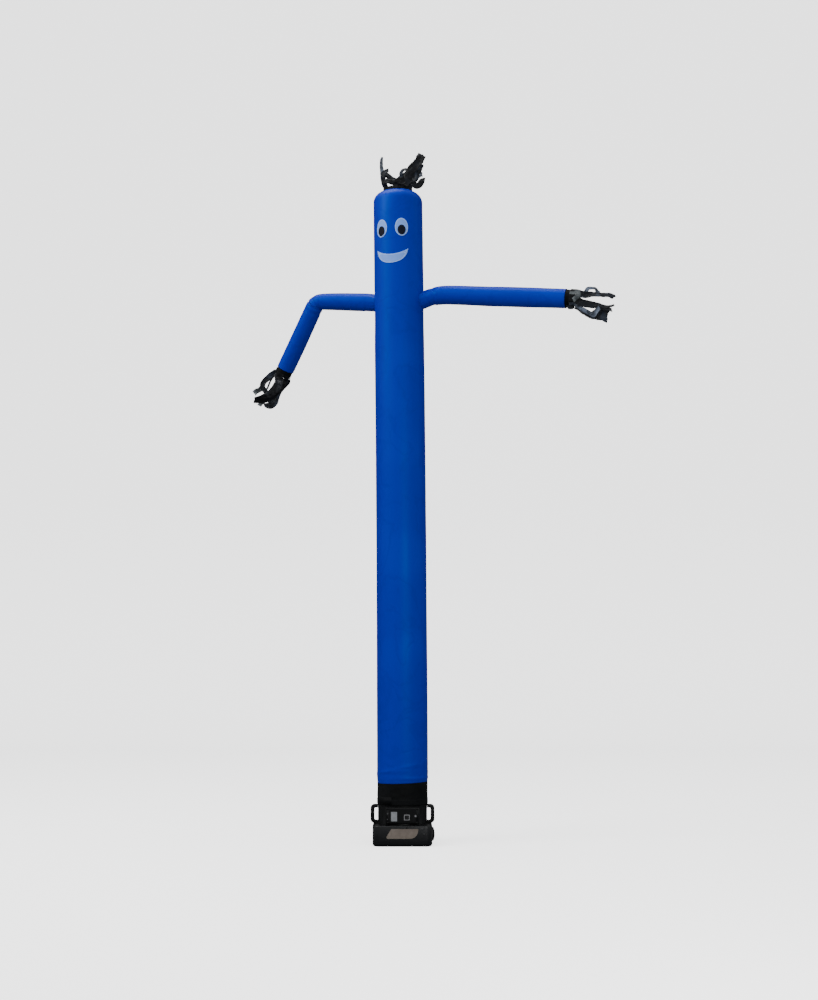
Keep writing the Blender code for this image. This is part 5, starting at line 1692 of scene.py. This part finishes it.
@dataclass
class Sleeve:
    """The black sleeve under the tube, the strap that holds it on the outlet, and the strap's tail."""

    line: TubeLine
    low: float = 0.352
    lap: float = 0.012
    inset: float = 0.0026
    seam_tilt: float = 0.008
    strap: tuple[float, float] = (0.360, 0.404)
    tail: tuple[float, float] = (0.357, 0.424)
    tail_span: tuple[float, float] = (-66.0, -24.0)
    tail_columns: int = 24
    tail_corner: float = 0.010
    folds_above: float = 0.50
    sleeve_step: float = 0.005
    strap_step: float = 0.0044
    thickness: float = 0.0014
    sides: int = 144

    def cloth_point(self, turn: float, z: float) -> Vector:
        """A place on the sleeve: gathered over the strap, flat under it."""
        over = max(0.0, z - self.strap[1] - 0.004)
        gather = sin(turn * 27.0 + 2.5 * sin(turn * 4.0)) * (0.6 + 0.4 * sin(turn * 3.0))
        lift = -self.inset - self.line.swell(turn, z)
        if over:
            fade = 1.0 - exp(-over / 0.012)
            lift += 0.0022 * gather * fade * exp(-over / 0.050)
            crumple = cloudy(Vector((cos(turn) * 0.8, sin(turn) * 0.8, z * 5.0)), 3.2, 2.0)
            lift += 0.0030 * fade * crumple * max(0.0, 1.0 - bell(z, self.line.foot, 0.05))
            lift += self.line.swell(turn, z) * bell(z, self.line.foot, 0.05)
        if z > self.folds_above:
            lift += self.line.foot_folds(turn, z)
        share = (z - self.low) / (self.line.foot + self.lap - self.low)
        return self.line.point(turn, z, lift) + AXIS_Z * self.seam_tilt * share * cos(turn)

    def strap_point(self, turn: float, z: float, lift: float) -> Vector:
        """A place on the strap or its tail."""
        ripple = 0.0003 * sin(turn * 40.0)
        return self.line.point(turn, z, lift + ripple - self.line.swell(turn, z))

    def build(self) -> list[Piece]:
        """Make the sleeve, its strap and the tail."""
        girth = tau * self.line.radius
        top = self.line.foot + self.lap
        stops = steps_between(self.low, top, lambda z: self.sleeve_step)
        sleeve = as_piece("sleeve", round_cloth(self.sides, girth, stops, self.cloth_point))
        wall(sleeve, self.thickness)
        rows = Stitching(Runs.ROUND, (0.006, top - self.low - 0.004))
        dress(sleeve, cloth("black sleeve cloth", BLACK, rows), Slot.BLACK, Body.DANCER, "base_sleeve")
        low, high = self.strap

        def place(turn: float, z: float) -> Vector:
            """The strap stands out a little along both its edges."""
            edge = 0.0005 * (bell(z, low, 0.003) + bell(z, high, 0.003))
            return self.strap_point(turn, z, -0.0003 + edge)

        stops = steps_between(low, high, lambda z: self.strap_step)
        strap = as_piece("strap", round_cloth(self.sides, girth, stops, place))
        wall(strap, self.thickness)
        rows = Stitching(Runs.ROUND, (0.004, high - low - 0.004))
        dress(strap, cloth("strap webbing", WEBBING, rows), Slot.BLACK, Body.DANCER, "sleeve_strap")
        return [sleeve, strap, self.build_tail()]

    def build_tail(self) -> Piece:
        """Make the strap's lapped tail, a flap with round corners."""
        low, high = self.tail
        first, last = (self.line.facing(a) for a in self.tail_span)
        length = (last - first) * self.line.radius
        bm = block((-length / 2, -0.5, low), (length / 2, 0.5, high))
        round_off(bm, [e for e in bm.edges if extent(e, Y) > 0.5], self.tail_corner, 4)
        bmesh.ops.delete(bm, geom=[v for v in bm.verts if v.co.y > 0.0], context="VERTS")
        for k in range(1, self.tail_columns):
            cut_across(bm, (-length / 2 + length * k / self.tail_columns, 0.0, 0.0), AXIS_X)
        lay_flat_map(bm, lambda vert: (vert.co.x, vert.co.z - low))
        for vert in bm.verts:
            turn = (first + last) / 2 + vert.co.x / self.line.radius
            vert.co = self.strap_point(turn, vert.co.z, 0.0003 + 0.0002 * sin(vert.co.x * 70.0))
        tail = as_piece("strap_flap", bm)
        wall(tail, self.thickness, offset=1.0)
        dress(tail, cloth("flap webbing", WEBBING, Stitching(Runs.ROUND, (0.005, high - low - 0.005))),
              Slot.BLACK, Body.DANCER, "strap_tail")
        return tail


@dataclass
class Figure:
    """The whole cloth figure."""

    line: TubeLine = field(default_factory=TubeLine)
    elbow_bend: float = 0.092
    elbow_steps: int = 6
    hole_at: float = 0.0235
    hole_inset: float = 0.006

    def right_path(self) -> Line:
        """The right arm's line."""
        return Line([self.line.arm_point(s, 1) for s in RIGHT_ARM], [s.radius for s in RIGHT_ARM])

    def left_path(self) -> tuple[Line, float, float]:
        """The left arm's line, and where its elbow starts and ends along it."""
        upper = [self.line.arm_point(s, -1) for s in LEFT_UPPER_ARM]
        lower = [self.line.arm_point(s, -1) for s in LEFT_FOREARM]
        corner = self.line.arm_point(LEFT_ELBOW, -1)
        into, away = (corner - upper[-1]).normalized(), (lower[0] - corner).normalized()
        bend = into.angle(away)
        side = (away - into * away.dot(into)).normalized()
        hub = corner - into * self.elbow_bend * tan(bend / 2) + side * self.elbow_bend
        points, sizes = [], []
        for k in range(self.elbow_steps + 1):
            share = k / self.elbow_steps
            turned = into * sin(share * bend) - side * cos(share * bend)
            points.append(hub + self.elbow_bend * turned)
            sizes.append(LEFT_ELBOW.radius - 0.002 + 0.005 * share - 0.002 * sin(pi * share))
        path = Line(upper + points + lower, [s.radius for s in LEFT_UPPER_ARM] + sizes
                    + [s.radius for s in LEFT_FOREARM])
        start = path.marks[10 * len(upper)]
        return path, start, path.marks[10 * (len(upper) + self.elbow_steps)]

    def armhole(self, path: Line) -> Armhole:
        """The hole for an arm, where its line crosses the wall."""
        middle, outward, radius = path.at(self.hole_at)
        return Armhole(middle, outward, radius - self.hole_inset)

    def build(self) -> list[Piece]:
        """Make every cloth of the figure."""
        right_path = self.right_path()
        left_path, bend_start, bend_end = self.left_path()
        span = bend_end - bend_start
        right = Limb("arm_right", ("right_arm",), self.line, 1, right_path, [
            Crease(0.128, 0.016, 0.0060, 0.55, 0.020), Crease(0.092, 0.010, 0.0030, 0.3, -0.014),
            Crease(0.170, 0.012, 0.0026, 0.1, 0.022)])
        left = Limb("arm_left", ("left_upper_arm", "left_forearm"), self.line, -1, left_path, [
            Crease(bend_start + 0.10 * span, 0.009, 0.0034, 0.05, -0.010),
            Crease(bend_start + 0.46 * span, 0.010, 0.0062, 0.30, 0.006),
            Crease(bend_start + 0.86 * span, 0.010, 0.0040, 0.12, 0.012),
            Crease(bend_start + 1.35 * span, 0.014, 0.0022, 0.0, 0.014),
            Crease(0.11, 0.014, 0.0020, 0.0, -0.02)])
        made = [BodyTube(self.line, [self.armhole(right_path), self.armhole(left_path)]).build()]
        made += Sleeve(self.line).build()
        made += Face(self.line).build()
        made += [right.build(), left.build()]
        made += Hair(self.line).build()
        # the looks give the hand ribbons copies with painted highlight, painted sheen and painted shade
        made += Hand("right_hand", right, RIGHT_HAND_RIBBONS, {
            "knot": RIBBON_HIGHLIGHT_PAINTED, "fold_back": RIBBON_SHEEN_PAINTED, "upper_loop": RIBBON_SHEEN_PAINTED,
            "middle": RIBBON_SHADE_PAINTED}).build()
        made += Hand("left_hand", left, LEFT_HAND_RIBBONS, {
            "flag": RIBBON_HIGHLIGHT_PAINTED, "tips": RIBBON_HIGHLIGHT_PAINTED, "centre": RIBBON_SHADE_PAINTED,
            "centre_back": RIBBON_SHADE_PAINTED}).build()
        return made


# ---- the blower ---------------------------------------------------------------------------------
@dataclass
class Housing:
    """The low rounded housing with its mould's parting line, and the guard, gland and clip on it."""

    corner: float = 0.060
    foot: float = 0.026
    edge: float = 0.010
    parting: float = 0.050
    groove: float = 0.0008
    groove_top: float = 0.0014
    groove_foot: float = 0.0008
    dome: float = 0.025
    guard_radius: float = 0.062
    guard_z: float = 0.086
    slots: int = 5
    pitch: float = 0.020
    slot: float = 0.007

    def build_case(self) -> Piece:
        """Make the case."""
        low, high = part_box("lower_housing")
        bm = block(low, high)
        tall = high[Z] - low[Z]
        round_off(bm, [e for e in bm.edges if extent(e, Z) > tall / 2], self.corner, 12)
        round_off(bm, [e for e in bm.edges if max(v.co.z for v in e.verts) < CLOSE], self.foot, 6)
        round_off(bm, [e for e in bm.edges if min(v.co.z for v in e.verts) > high[Z] - CLOSE], self.edge, 4)
        for height in (-self.groove_top, -self.groove_foot, self.groove_foot, self.groove_top):
            cut_across(bm, (0, 0, self.parting + height), AXIS_Z)
        between_edges = (self.groove_top + self.groove_foot) / 2
        sunk = [v for v in bm.verts if abs(v.co.z - self.parting) < between_edges]
        wide = high[X] - low[X]
        bmesh.ops.scale(bm, vec=(1 - 2 * self.groove / wide,) * 2 + (1,), verts=sunk)
        return part("housing", bm, 50, CASE, Slot.PLASTIC, "lower_housing")

    def build_guard(self) -> Piece:
        """Make the domed air guard on the right side: a rim, a back and slats across."""
        reach, deep = self.guard_radius, self.dome
        bm = lathe([(0.0, 0.0), (reach, 0.0), (reach, 0.20 * deep), (0.97 * reach, 0.36 * deep),
                    (0.92 * reach, 0.50 * deep), (0.86 * reach, 0.60 * deep), (0.80 * reach, 0.665 * deep),
                    (0.80 * reach, 0.004), (0.0, 0.004)], 64)
        dome = [(0.0, 0.0045), (0.797 * reach, 0.0045), (0.797 * reach, 0.665 * deep),
                (0.70 * reach, 0.765 * deep), (0.55 * reach, 0.87 * deep), (0.40 * reach, 0.94 * deep),
                (0.22 * reach, 0.985 * deep), (0.0, deep)]
        joined = bpy.data.meshes.new("slats")
        for k in range(self.slots + 1):
            middle = (k - self.slots / 2) * self.pitch
            half = (self.pitch - self.slot) / 2
            slat = lathe(dome, 64)
            for place, way in ((middle - half, -1), (middle + half, 1)):
                if abs(place) > 0.79 * reach:
                    continue
                bmesh.ops.edgeloop_fill(slat, edges=cut_across(slat, (place, 0, 0), AXIS_X * way, clear=True))
            bmesh.ops.recalc_face_normals(slat, faces=slat.faces)
            slat.to_mesh(joined)
            slat.free()
            bm.from_mesh(joined)
        bpy.data.meshes.remove(joined)
        settle(bm, QUARTER, "Y", (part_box("intake_guard")[0][X], 0, self.guard_z))
        return part("air_guard", bm, 40, SATIN, Slot.PLASTIC, "intake_guard")

    def build_gland(self) -> Piece:
        """Make the ribbed gland for a lead at the back."""
        low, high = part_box("cord_gland")
        reach, long, bore = (high[X] - low[X]) / 2, high[Y] - low[Y], 0.0055
        outline = [(bore, 0.0), (reach, 0.0), (reach, long * 0.20), (reach * 0.95, long * 0.25)]
        for k in range(4):
            start = 0.30 + 0.17 * k
            size = reach * (0.84 - 0.05 * k)
            outline += [(size * 0.86, long * start), (size, long * (start + 0.04)),
                        (size * 0.98, long * (start + 0.10)), (size * 0.84, long * (start + 0.13))]
        outline += [(reach * 0.62, long), (bore, long)]
        x, _, z = between(low, high)
        bm = settle(lathe(outline, 40, loop=True), -QUARTER, "X", (x, low[Y], z))
        return part("lead_gland", bm, 35, SATIN, Slot.PLASTIC, "cord_gland")

    def build_clip(self) -> Piece:
        """Make the small tab that keys the flange to the case."""
        low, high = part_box("front_clip")
        bm = block(low, high)
        round_off(bm, [e for e in bm.edges if max(v.co.y for v in e.verts) < low[Y] + CLOSE], 0.0016, 3)
        return part("flange_clip", bm, 50, SATIN, Slot.BEZEL, "front_clip")

    def build(self) -> list[Piece]:
        """Make the housing's pieces."""
        return [self.build_case(), self.build_guard(), self.build_gland(), self.build_clip()]


@dataclass
class Drum:
    """The outlet drum with its flange and collar, and the two lifting handles at its sides."""

    radius: float = 0.220
    wall: float = 0.010
    top: float = 0.350
    flange: float = 0.236
    flange_height: float = 0.005
    collar: float = 0.2233
    handle_out: float = 0.286
    bar: float = 0.035
    lug: float = 0.027
    crest: float = 0.004
    half_deep: float = 0.016
    outer_corner: float = 0.036
    slot_corner: float = 0.0148
    handle_edge: float = 0.0035

    def build_drum(self) -> Piece:
        """Make the drum."""
        low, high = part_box("outlet_drum")
        bottom, collar_top, inner = low[Z], high[Z], self.radius - self.wall
        lip = bottom + self.flange_height
        outline = [(inner, bottom), (self.flange - 0.0012, bottom), (self.flange, bottom + 0.0012),
                   (self.flange, lip - 0.0014), (self.flange - 0.0014, lip),
                   (self.radius + 0.003, lip + 0.0008), (self.radius + 0.0008, lip + 0.0016),
                   (self.radius, lip + 0.004), (self.radius, self.top - 0.010),
                   (self.radius + 0.0012, self.top - 0.008), (self.radius + 0.0012, self.top - 0.002),
                   (self.radius, self.top), (self.collar, self.top + 0.004),
                   (self.collar, collar_top - 0.004),
                   (self.collar - 0.0012, collar_top - 0.0012), (self.collar - 0.004, collar_top),
                   (inner, collar_top)]
        return part("drum", lathe(outline, 128, loop=True), 30, SATIN, Slot.PLASTIC, "outlet_drum")

    def build_handle(self, side: int, node: str) -> Piece:
        """Make a handle.

        Args:
            side: 1 for the right one and -1 for the left.
            node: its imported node.

        Returns:
            The handle.
        """
        (_, _, bottom), (_, _, top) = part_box(node)
        start, bar = self.radius + 0.0006, self.handle_out - self.bar
        over_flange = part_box("outlet_drum")[0][Z] + self.flange_height + 0.0008
        past_flange = self.flange + 0.0008
        outline = [(start, over_flange), (past_flange, over_flange), (past_flange, bottom),
                   (self.handle_out, bottom), (self.handle_out, top + self.crest), (start, top + self.crest),
                   (start, top - self.lug), (bar, top - self.lug), (bar, bottom + self.lug),
                   (start, bottom + self.lug)]
        bm = plate([(side * x, z) for x, z in outline], -self.half_deep, self.half_deep, 0.0, 0.0)
        outer = [e for e in bm.edges if extent(e, Y) > self.half_deep
                 and abs(e.verts[0].co.x) > self.handle_out - CLOSE]
        round_off(bm, outer, self.outer_corner, 10)
        slot = [e for e in bm.edges if extent(e, Y) > self.half_deep
                and abs(abs(e.verts[0].co.x) - bar) < CLOSE and bottom + 0.02 < e.verts[0].co.z < top - 0.02]
        round_off(bm, slot, self.slot_corner, 6)
        border = [e for e in bm.edges if extent(e, Y) < CLOSE
                  and max(abs(v.co.x) for v in e.verts) > start + CLOSE]
        round_off(bm, border, self.handle_edge, 3)
        bmesh.ops.recalc_face_normals(bm, faces=bm.faces)
        return part("grip_right" if side > 0 else "grip_left", bm, 50, SATIN, Slot.PLASTIC, node)

    def build(self) -> list[Piece]:
        """Make the drum's pieces."""
        return [self.build_drum(), self.build_handle(1, "right_handle"),
                self.build_handle(-1, "left_handle")]


@dataclass
class ControlPanel:
    """The control box on the drum's front, with its label, switch, reset button and screws."""

    drum_radius: float = 0.2207
    edge: float = 0.008
    frame_border: float = 0.010
    frame_groove: float = 0.0010
    bezel_well: float = 0.0161
    rocker_half: float = 0.0141
    rocker_tilt: float = -7.0
    columns: int = 28

    def build_box(self) -> Piece:
        """Make the box: a flat front with a thin groove round it, and a back that follows the drum."""
        low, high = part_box("control_panel")
        front = low[Y]
        bm = block((low[X], front, low[Z]), (high[X], front + 0.030, high[Z]))
        for k in range(1, self.columns):
            cut_across(bm, (low[X] + (high[X] - low[X]) * k / self.columns, 0, 0), AXIS_X)
        for vert in bm.verts:
            if vert.co.y > front + 0.001:
                vert.co.y = -sqrt(self.drum_radius ** 2 - vert.co.x ** 2)
        outline = [e for e in bm.edges if max(v.co.y for v in e.verts) < front + CLOSE
                   and any(f.calc_center_median().y > front + 0.001 for f in e.link_faces)]
        round_off(bm, outline, self.edge, 5)
        flat = [f for f in bm.faces if f.calc_center_median().y < front + CLOSE]
        bmesh.ops.inset_region(bm, faces=flat, thickness=self.frame_border)
        for thickness, depth in ((0.0008, -self.frame_groove), (0.0010, 0.0), (0.0008, self.frame_groove)):
            bmesh.ops.inset_region(bm, faces=flat, thickness=thickness, depth=depth)
        return part("control_box", bm, 40, SATIN, Slot.PLASTIC, "control_panel")

    def build_label(self) -> Piece:
        """Make the bare label."""
        low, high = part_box("rating_label")
        outline = [(low[X], low[Z]), (high[X], low[Z]), (high[X], high[Z]), (low[X], high[Z])]
        bm = plate(outline, low[Y], high[Y], 0.0025, 0.0003, 1)
        return part("rating_plate", bm, 40, GREY_FOIL, Slot.GREY_LABEL, "rating_label")

    def build_bezel(self) -> Piece:
        """Make the switch's frame: a slab whose front sinks to a square well."""
        low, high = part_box("switch_bezel")
        outer, inner = (high[X] - low[X]) / 2, self.bezel_well
        middle, _, centre = between(low, high)
        bm = block(low, high)
        ends = [f for f in bm.faces if abs(f.normal.y) > 0.99]
        for end in ends:
            bmesh.ops.inset_region(bm, faces=[end], thickness=outer - inner)
            for vert in end.verts:
                vert.co.z += 0.0003 if vert.co.z > centre else -0.0003
        loops = [e for f in ends for e in f.edges]
        bmesh.ops.delete(bm, geom=ends, context="FACES_ONLY")
        bmesh.ops.bridge_loops(bm, edges=loops)
        bmesh.ops.recalc_face_normals(bm, faces=bm.faces)
        corners = [e for e in bm.edges if extent(e, Y) > 0.004
                   and abs(e.verts[0].co.x - middle) > inner + 0.001]
        round_off(bm, corners, 0.003, 4)
        outline = [e for e in bm.edges if max(v.co.y for v in e.verts) < low[Y] + CLOSE
                   and any(abs(f.normal.y) < 0.5 for f in e.link_faces)]
        round_off(bm, outline, 0.0014, 3)
        return part("switch_frame", bm, 35, GREY, Slot.BEZEL, "switch_bezel")

    def build_rocker(self) -> list[Piece]:
        """Make the rocker with its marks for on and off."""
        pivot = Vector(next(j for j in frame["joints"] if j["name"] == "switch_rock")["pos_m"])
        low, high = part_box("switch_rocker")
        wide, half = high[X] - low[X], self.rocker_half
        bm = block((-wide / 2, -0.0062, -half), (wide / 2, 0.0030, half))
        cut_across(bm, (0, 0, 0), AXIS_Z)
        for vert in bm.verts:
            if abs(vert.co.z) < CLOSE and vert.co.y < 0:
                vert.co.y = -0.0042
            elif abs(vert.co.z) > 0.01 and vert.co.y > 0:
                vert.co.y = 0.0012
        round_off(bm, [e for e in bm.edges if max(v.co.y for v in e.verts) < -0.004
                       and not all(abs(v.co.z) < CLOSE for v in e.verts)], 0.0009, 3)
        tilt = radians(self.rocker_tilt)
        made = [part("rocker", settle(bm, tilt, "X", pivot), 35, SATIN, Slot.PLASTIC, "switch_rocker",
                     body=Body.ROCKER)]
        slope = atan2(0.0020, half)
        bar = block((-0.0007, -0.00018, -0.0030), (0.0007, 0.00012, 0.0030))
        ring = lathe([(0.0022, -0.00012), (0.0032, -0.00012), (0.0032, 0.00018), (0.0022, 0.00018)], 32,
                     loop=True)
        settle(ring, QUARTER, "X", (0, 0, 0))
        for shape, name, way in ((bar, "mark_on", 1), (ring, "mark_off", -1)):
            settle(shape, way * slope, "X", (0, -0.0052, way * half / 2))
            made.append(part(name, settle(shape, tilt, "X", pivot), 35, MARK, Slot.BEZEL, body=Body.ROCKER))
        return made

    def build_reset(self) -> list[Piece]:
        """Make the reset button, domed a little, and its collar."""
        low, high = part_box("reset_collar")
        (x, _, z), reach, bore = between(low, high), (high[X] - low[X]) / 2, 0.0073
        outline = [(bore, 0.0), (reach, 0.0), (reach, 0.0052), (reach - 0.0006, 0.0068),
                   (reach - 0.0018, 0.0080), (bore + 0.0006, 0.0080), (bore, 0.0074)]
        shape = settle(lathe(outline, 48, loop=True), QUARTER, "X", (x, high[Y], z))
        collar = part("reset_ring", shape, 40, DULL, Slot.BEZEL, "reset_collar")
        (_, far, _), (_, near, _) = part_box("reset_button")
        long, size = near - far, 0.0068
        outline = [(0.0, 0.0), (size, 0.0), (size, long - 0.0014), (size - 0.0004, long - 0.0007),
                   (size - 0.0012, long - 0.0002), (size * 0.5, long), (0.0, long)]
        shape = settle(lathe(outline, 48), QUARTER, "X", (x, near, z))
        return [collar, part("reset_knob", shape, 40, GREY, Slot.BEZEL, "reset_button", body=Body.BUTTON)]

    def build_screw(self, node: str) -> Piece:
        """Make a pan-head screw with a cross recess."""
        low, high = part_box(node)
        reach, deep = (high[X] - low[X]) / 2, high[Y] - low[Y]
        bm = lathe([(0.0, 0.0), (reach, 0.0), (reach, deep * 0.35), (reach * 0.94, deep * 0.62),
                    (reach * 0.78, deep * 0.86), (reach * 0.55, deep * 0.97), (reach * 0.34, deep),
                    (0.0, deep)], 32)
        top = [f for f in bm.faces if f.calc_center_median().z > deep * 0.98]
        bmesh.ops.inset_region(bm, faces=top, thickness=reach * 0.02)
        for vert in {v for f in top for v in f.verts}:
            turn = atan2(vert.co.y, vert.co.x)
            if cos(4 * turn) > 0.2 or vert.co.xy.length < CLOSE:
                vert.co.z -= deep * 0.45
        x, _, z = between(low, high)
        settle(bm, QUARTER, "X", (x, high[Y], z))
        return part(node + "_head", bm, 35, STEEL, Slot.STEEL, node)

    def build_front_label(self) -> Piece:
        """Make the wide bare label with slanting ends on the housing."""
        low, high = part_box("front_label")
        outline = [(low[X], low[Z] + 0.013), (low[X] + 0.010, low[Z])]
        turn, facets = 0.072, 8
        for k in range(facets + 1):
            angle = radians(270 + 90 * k / facets)
            outline.append((high[X] - turn + turn * cos(angle),
                            low[Z] + turn + turn * sin(angle)))
        outline += [(high[X], high[Z]), (low[X] + 0.044, high[Z])]
        bm = plate(outline, low[Y], high[Y], 0.0, 0.0)
        corners = [e for e in bm.edges if extent(e, Y) > 0.0005 and e.calc_face_angle(0.0) > radians(25)]
        round_off(bm, corners, 0.004, 3)
        return part("front_plate", bm, 40, TAUPE_FILM, Slot.TAUPE_LABEL, "front_label")

    def build(self) -> list[Piece]:
        """Make the panel's pieces."""
        made = [self.build_box(), self.build_label(), self.build_bezel(), *self.build_rocker(),
                *self.build_reset(), self.build_front_label()]
        return made + [self.build_screw(node) for node in ("panel_screw_upper", "panel_screw_lower",
                                                           "housing_screw_upper", "housing_screw_lower")]


# ---- the studio ---------------------------------------------------------------------------------
@dataclass
class Studio:
    """A pale floor that turns up into a pale wall, soft light from the upper left, and the camera."""

    floor_half: float = 90.0
    wall_at: float = 14.0
    wall_high: float = 26.0
    curve: float = 5.0
    camera_place: tuple[float, float, float] = (0.058, -13.5, 1.634)
    camera_tilt: float = 96.14
    lens: float = 53.388

    def build_floor(self) -> None:
        """Make the floor and wall in one sweep."""
        bm = bmesh.new()
        bmesh.ops.create_grid(bm, x_segments=1, y_segments=1, size=self.floor_half)
        back = [e for e in bm.edges if min(v.co.y for v in e.verts) > self.floor_half - 0.01]
        shift = self.wall_at - self.floor_half
        bmesh.ops.translate(bm, vec=(0, shift, 0), verts=[v for e in back for v in e.verts])
        bmesh.ops.spin(bm, geom=back, axis=AXIS_X, cent=(0, self.wall_at, self.curve), angle=QUARTER,
                       steps=16)
        top = [e for e in bm.edges if min(v.co.y for v in e.verts) > self.wall_at + self.curve - 0.01]
        made = bmesh.ops.extrude_edge_only(bm, edges=top)["geom"]
        bmesh.ops.translate(bm, vec=(0, 0, self.wall_high), verts=verts_of(made))
        floor = as_piece("studio_floor", bm)
        floor.data.materials.append(self.floor_finish())

    def floor_finish(self) -> bpy.types.Material:
        """A matt pale paint that throws little light back on what stands on it."""
        made = bpy.data.materials.new("studio paint")
        made.use_nodes = True
        graph = Graph(made.node_tree)
        shader = made.node_tree.nodes["Principled BSDF"]
        shader.inputs["Roughness"].default_value = 0.9
        shader.inputs["Specular IOR Level"].default_value = 0.0
        seen = graph.node("LightPath").outputs["Is Camera Ray"]
        graph.put(shader.inputs["Base Color"], graph.mix(seen, (0.17, 0.17, 0.17), (0.90, 0.90, 0.90)))
        shader.inputs["Emission Color"].default_value = (1.0, 1.0, 1.0, 1.0)
        graph.put(shader.inputs["Emission Strength"], graph.times(seen, 1.9))
        return made

    def add_light(self, name: str, power: float, size: float, place: Vector, target: Vector,
                  colour: Colour) -> None:
        """Add a square soft light.

        Args:
            name: its name.
            power: its power in watts.
            size: its side in metres.
            place: where it hangs.
            target: what it points at.
            colour: its colour.
        """
        light = bpy.data.lights.new(name, "AREA")
        light.energy, light.size, light.color = power, size, colour
        lamp = bpy.data.objects.new(name, light)
        lamp.location = place
        lamp.rotation_euler = (target - place).to_track_quat("-Z", "Y").to_euler()
        bpy.context.scene.collection.objects.link(lamp)

    def build(self) -> None:
        """Make the studio."""
        self.build_floor()
        world = bpy.data.worlds.new("studio air")
        bpy.context.scene.world = world
        world.use_nodes = True
        air = world.node_tree.nodes["Background"]
        air.inputs["Color"].default_value = (0.96, 0.98, 1.0, 1.0)
        air.inputs["Strength"].default_value = 1.0
        self.add_light("key", 850.0, 6.0, Vector((-8.5, -4.5, 10.0)), Vector((0, 0, 5.2)), (1.0, 0.99, 0.97))
        self.add_light("top", 340.0, 5.0, Vector((-1.5, 0.0, 12.0)), Vector((0, 0, 5.0)), (1.0, 1.0, 1.0))
        self.add_light("fill", 200.0, 3.0, Vector((2.5, -8.0, 2.5)), Vector((0, 0, 5.4)), (1.0, 1.0, 1.0))
        camera = bpy.data.objects.new("camera", bpy.data.cameras.new("camera"))
        camera.location = self.camera_place
        camera.rotation_euler = (radians(self.camera_tilt), 0.0, 0.0)
        camera.data.lens, camera.data.sensor_width = self.lens, 36.0
        bpy.context.scene.collection.objects.link(camera)
        bpy.context.scene.camera = camera


def main() -> None:
    """Build the figure, the blower and the studio, and log how many pieces each assembly has."""
    logging.basicConfig(level=logging.INFO, format="%(name)s: %(message)s")
    for assembly in (Figure(), Housing(), Drum(), ControlPanel()):
        pieces = assembly.build()
        LOG.info("%s: %d pieces", type(assembly).__name__, len(pieces))
    Studio().build()


if __name__ == "__main__":
    main()
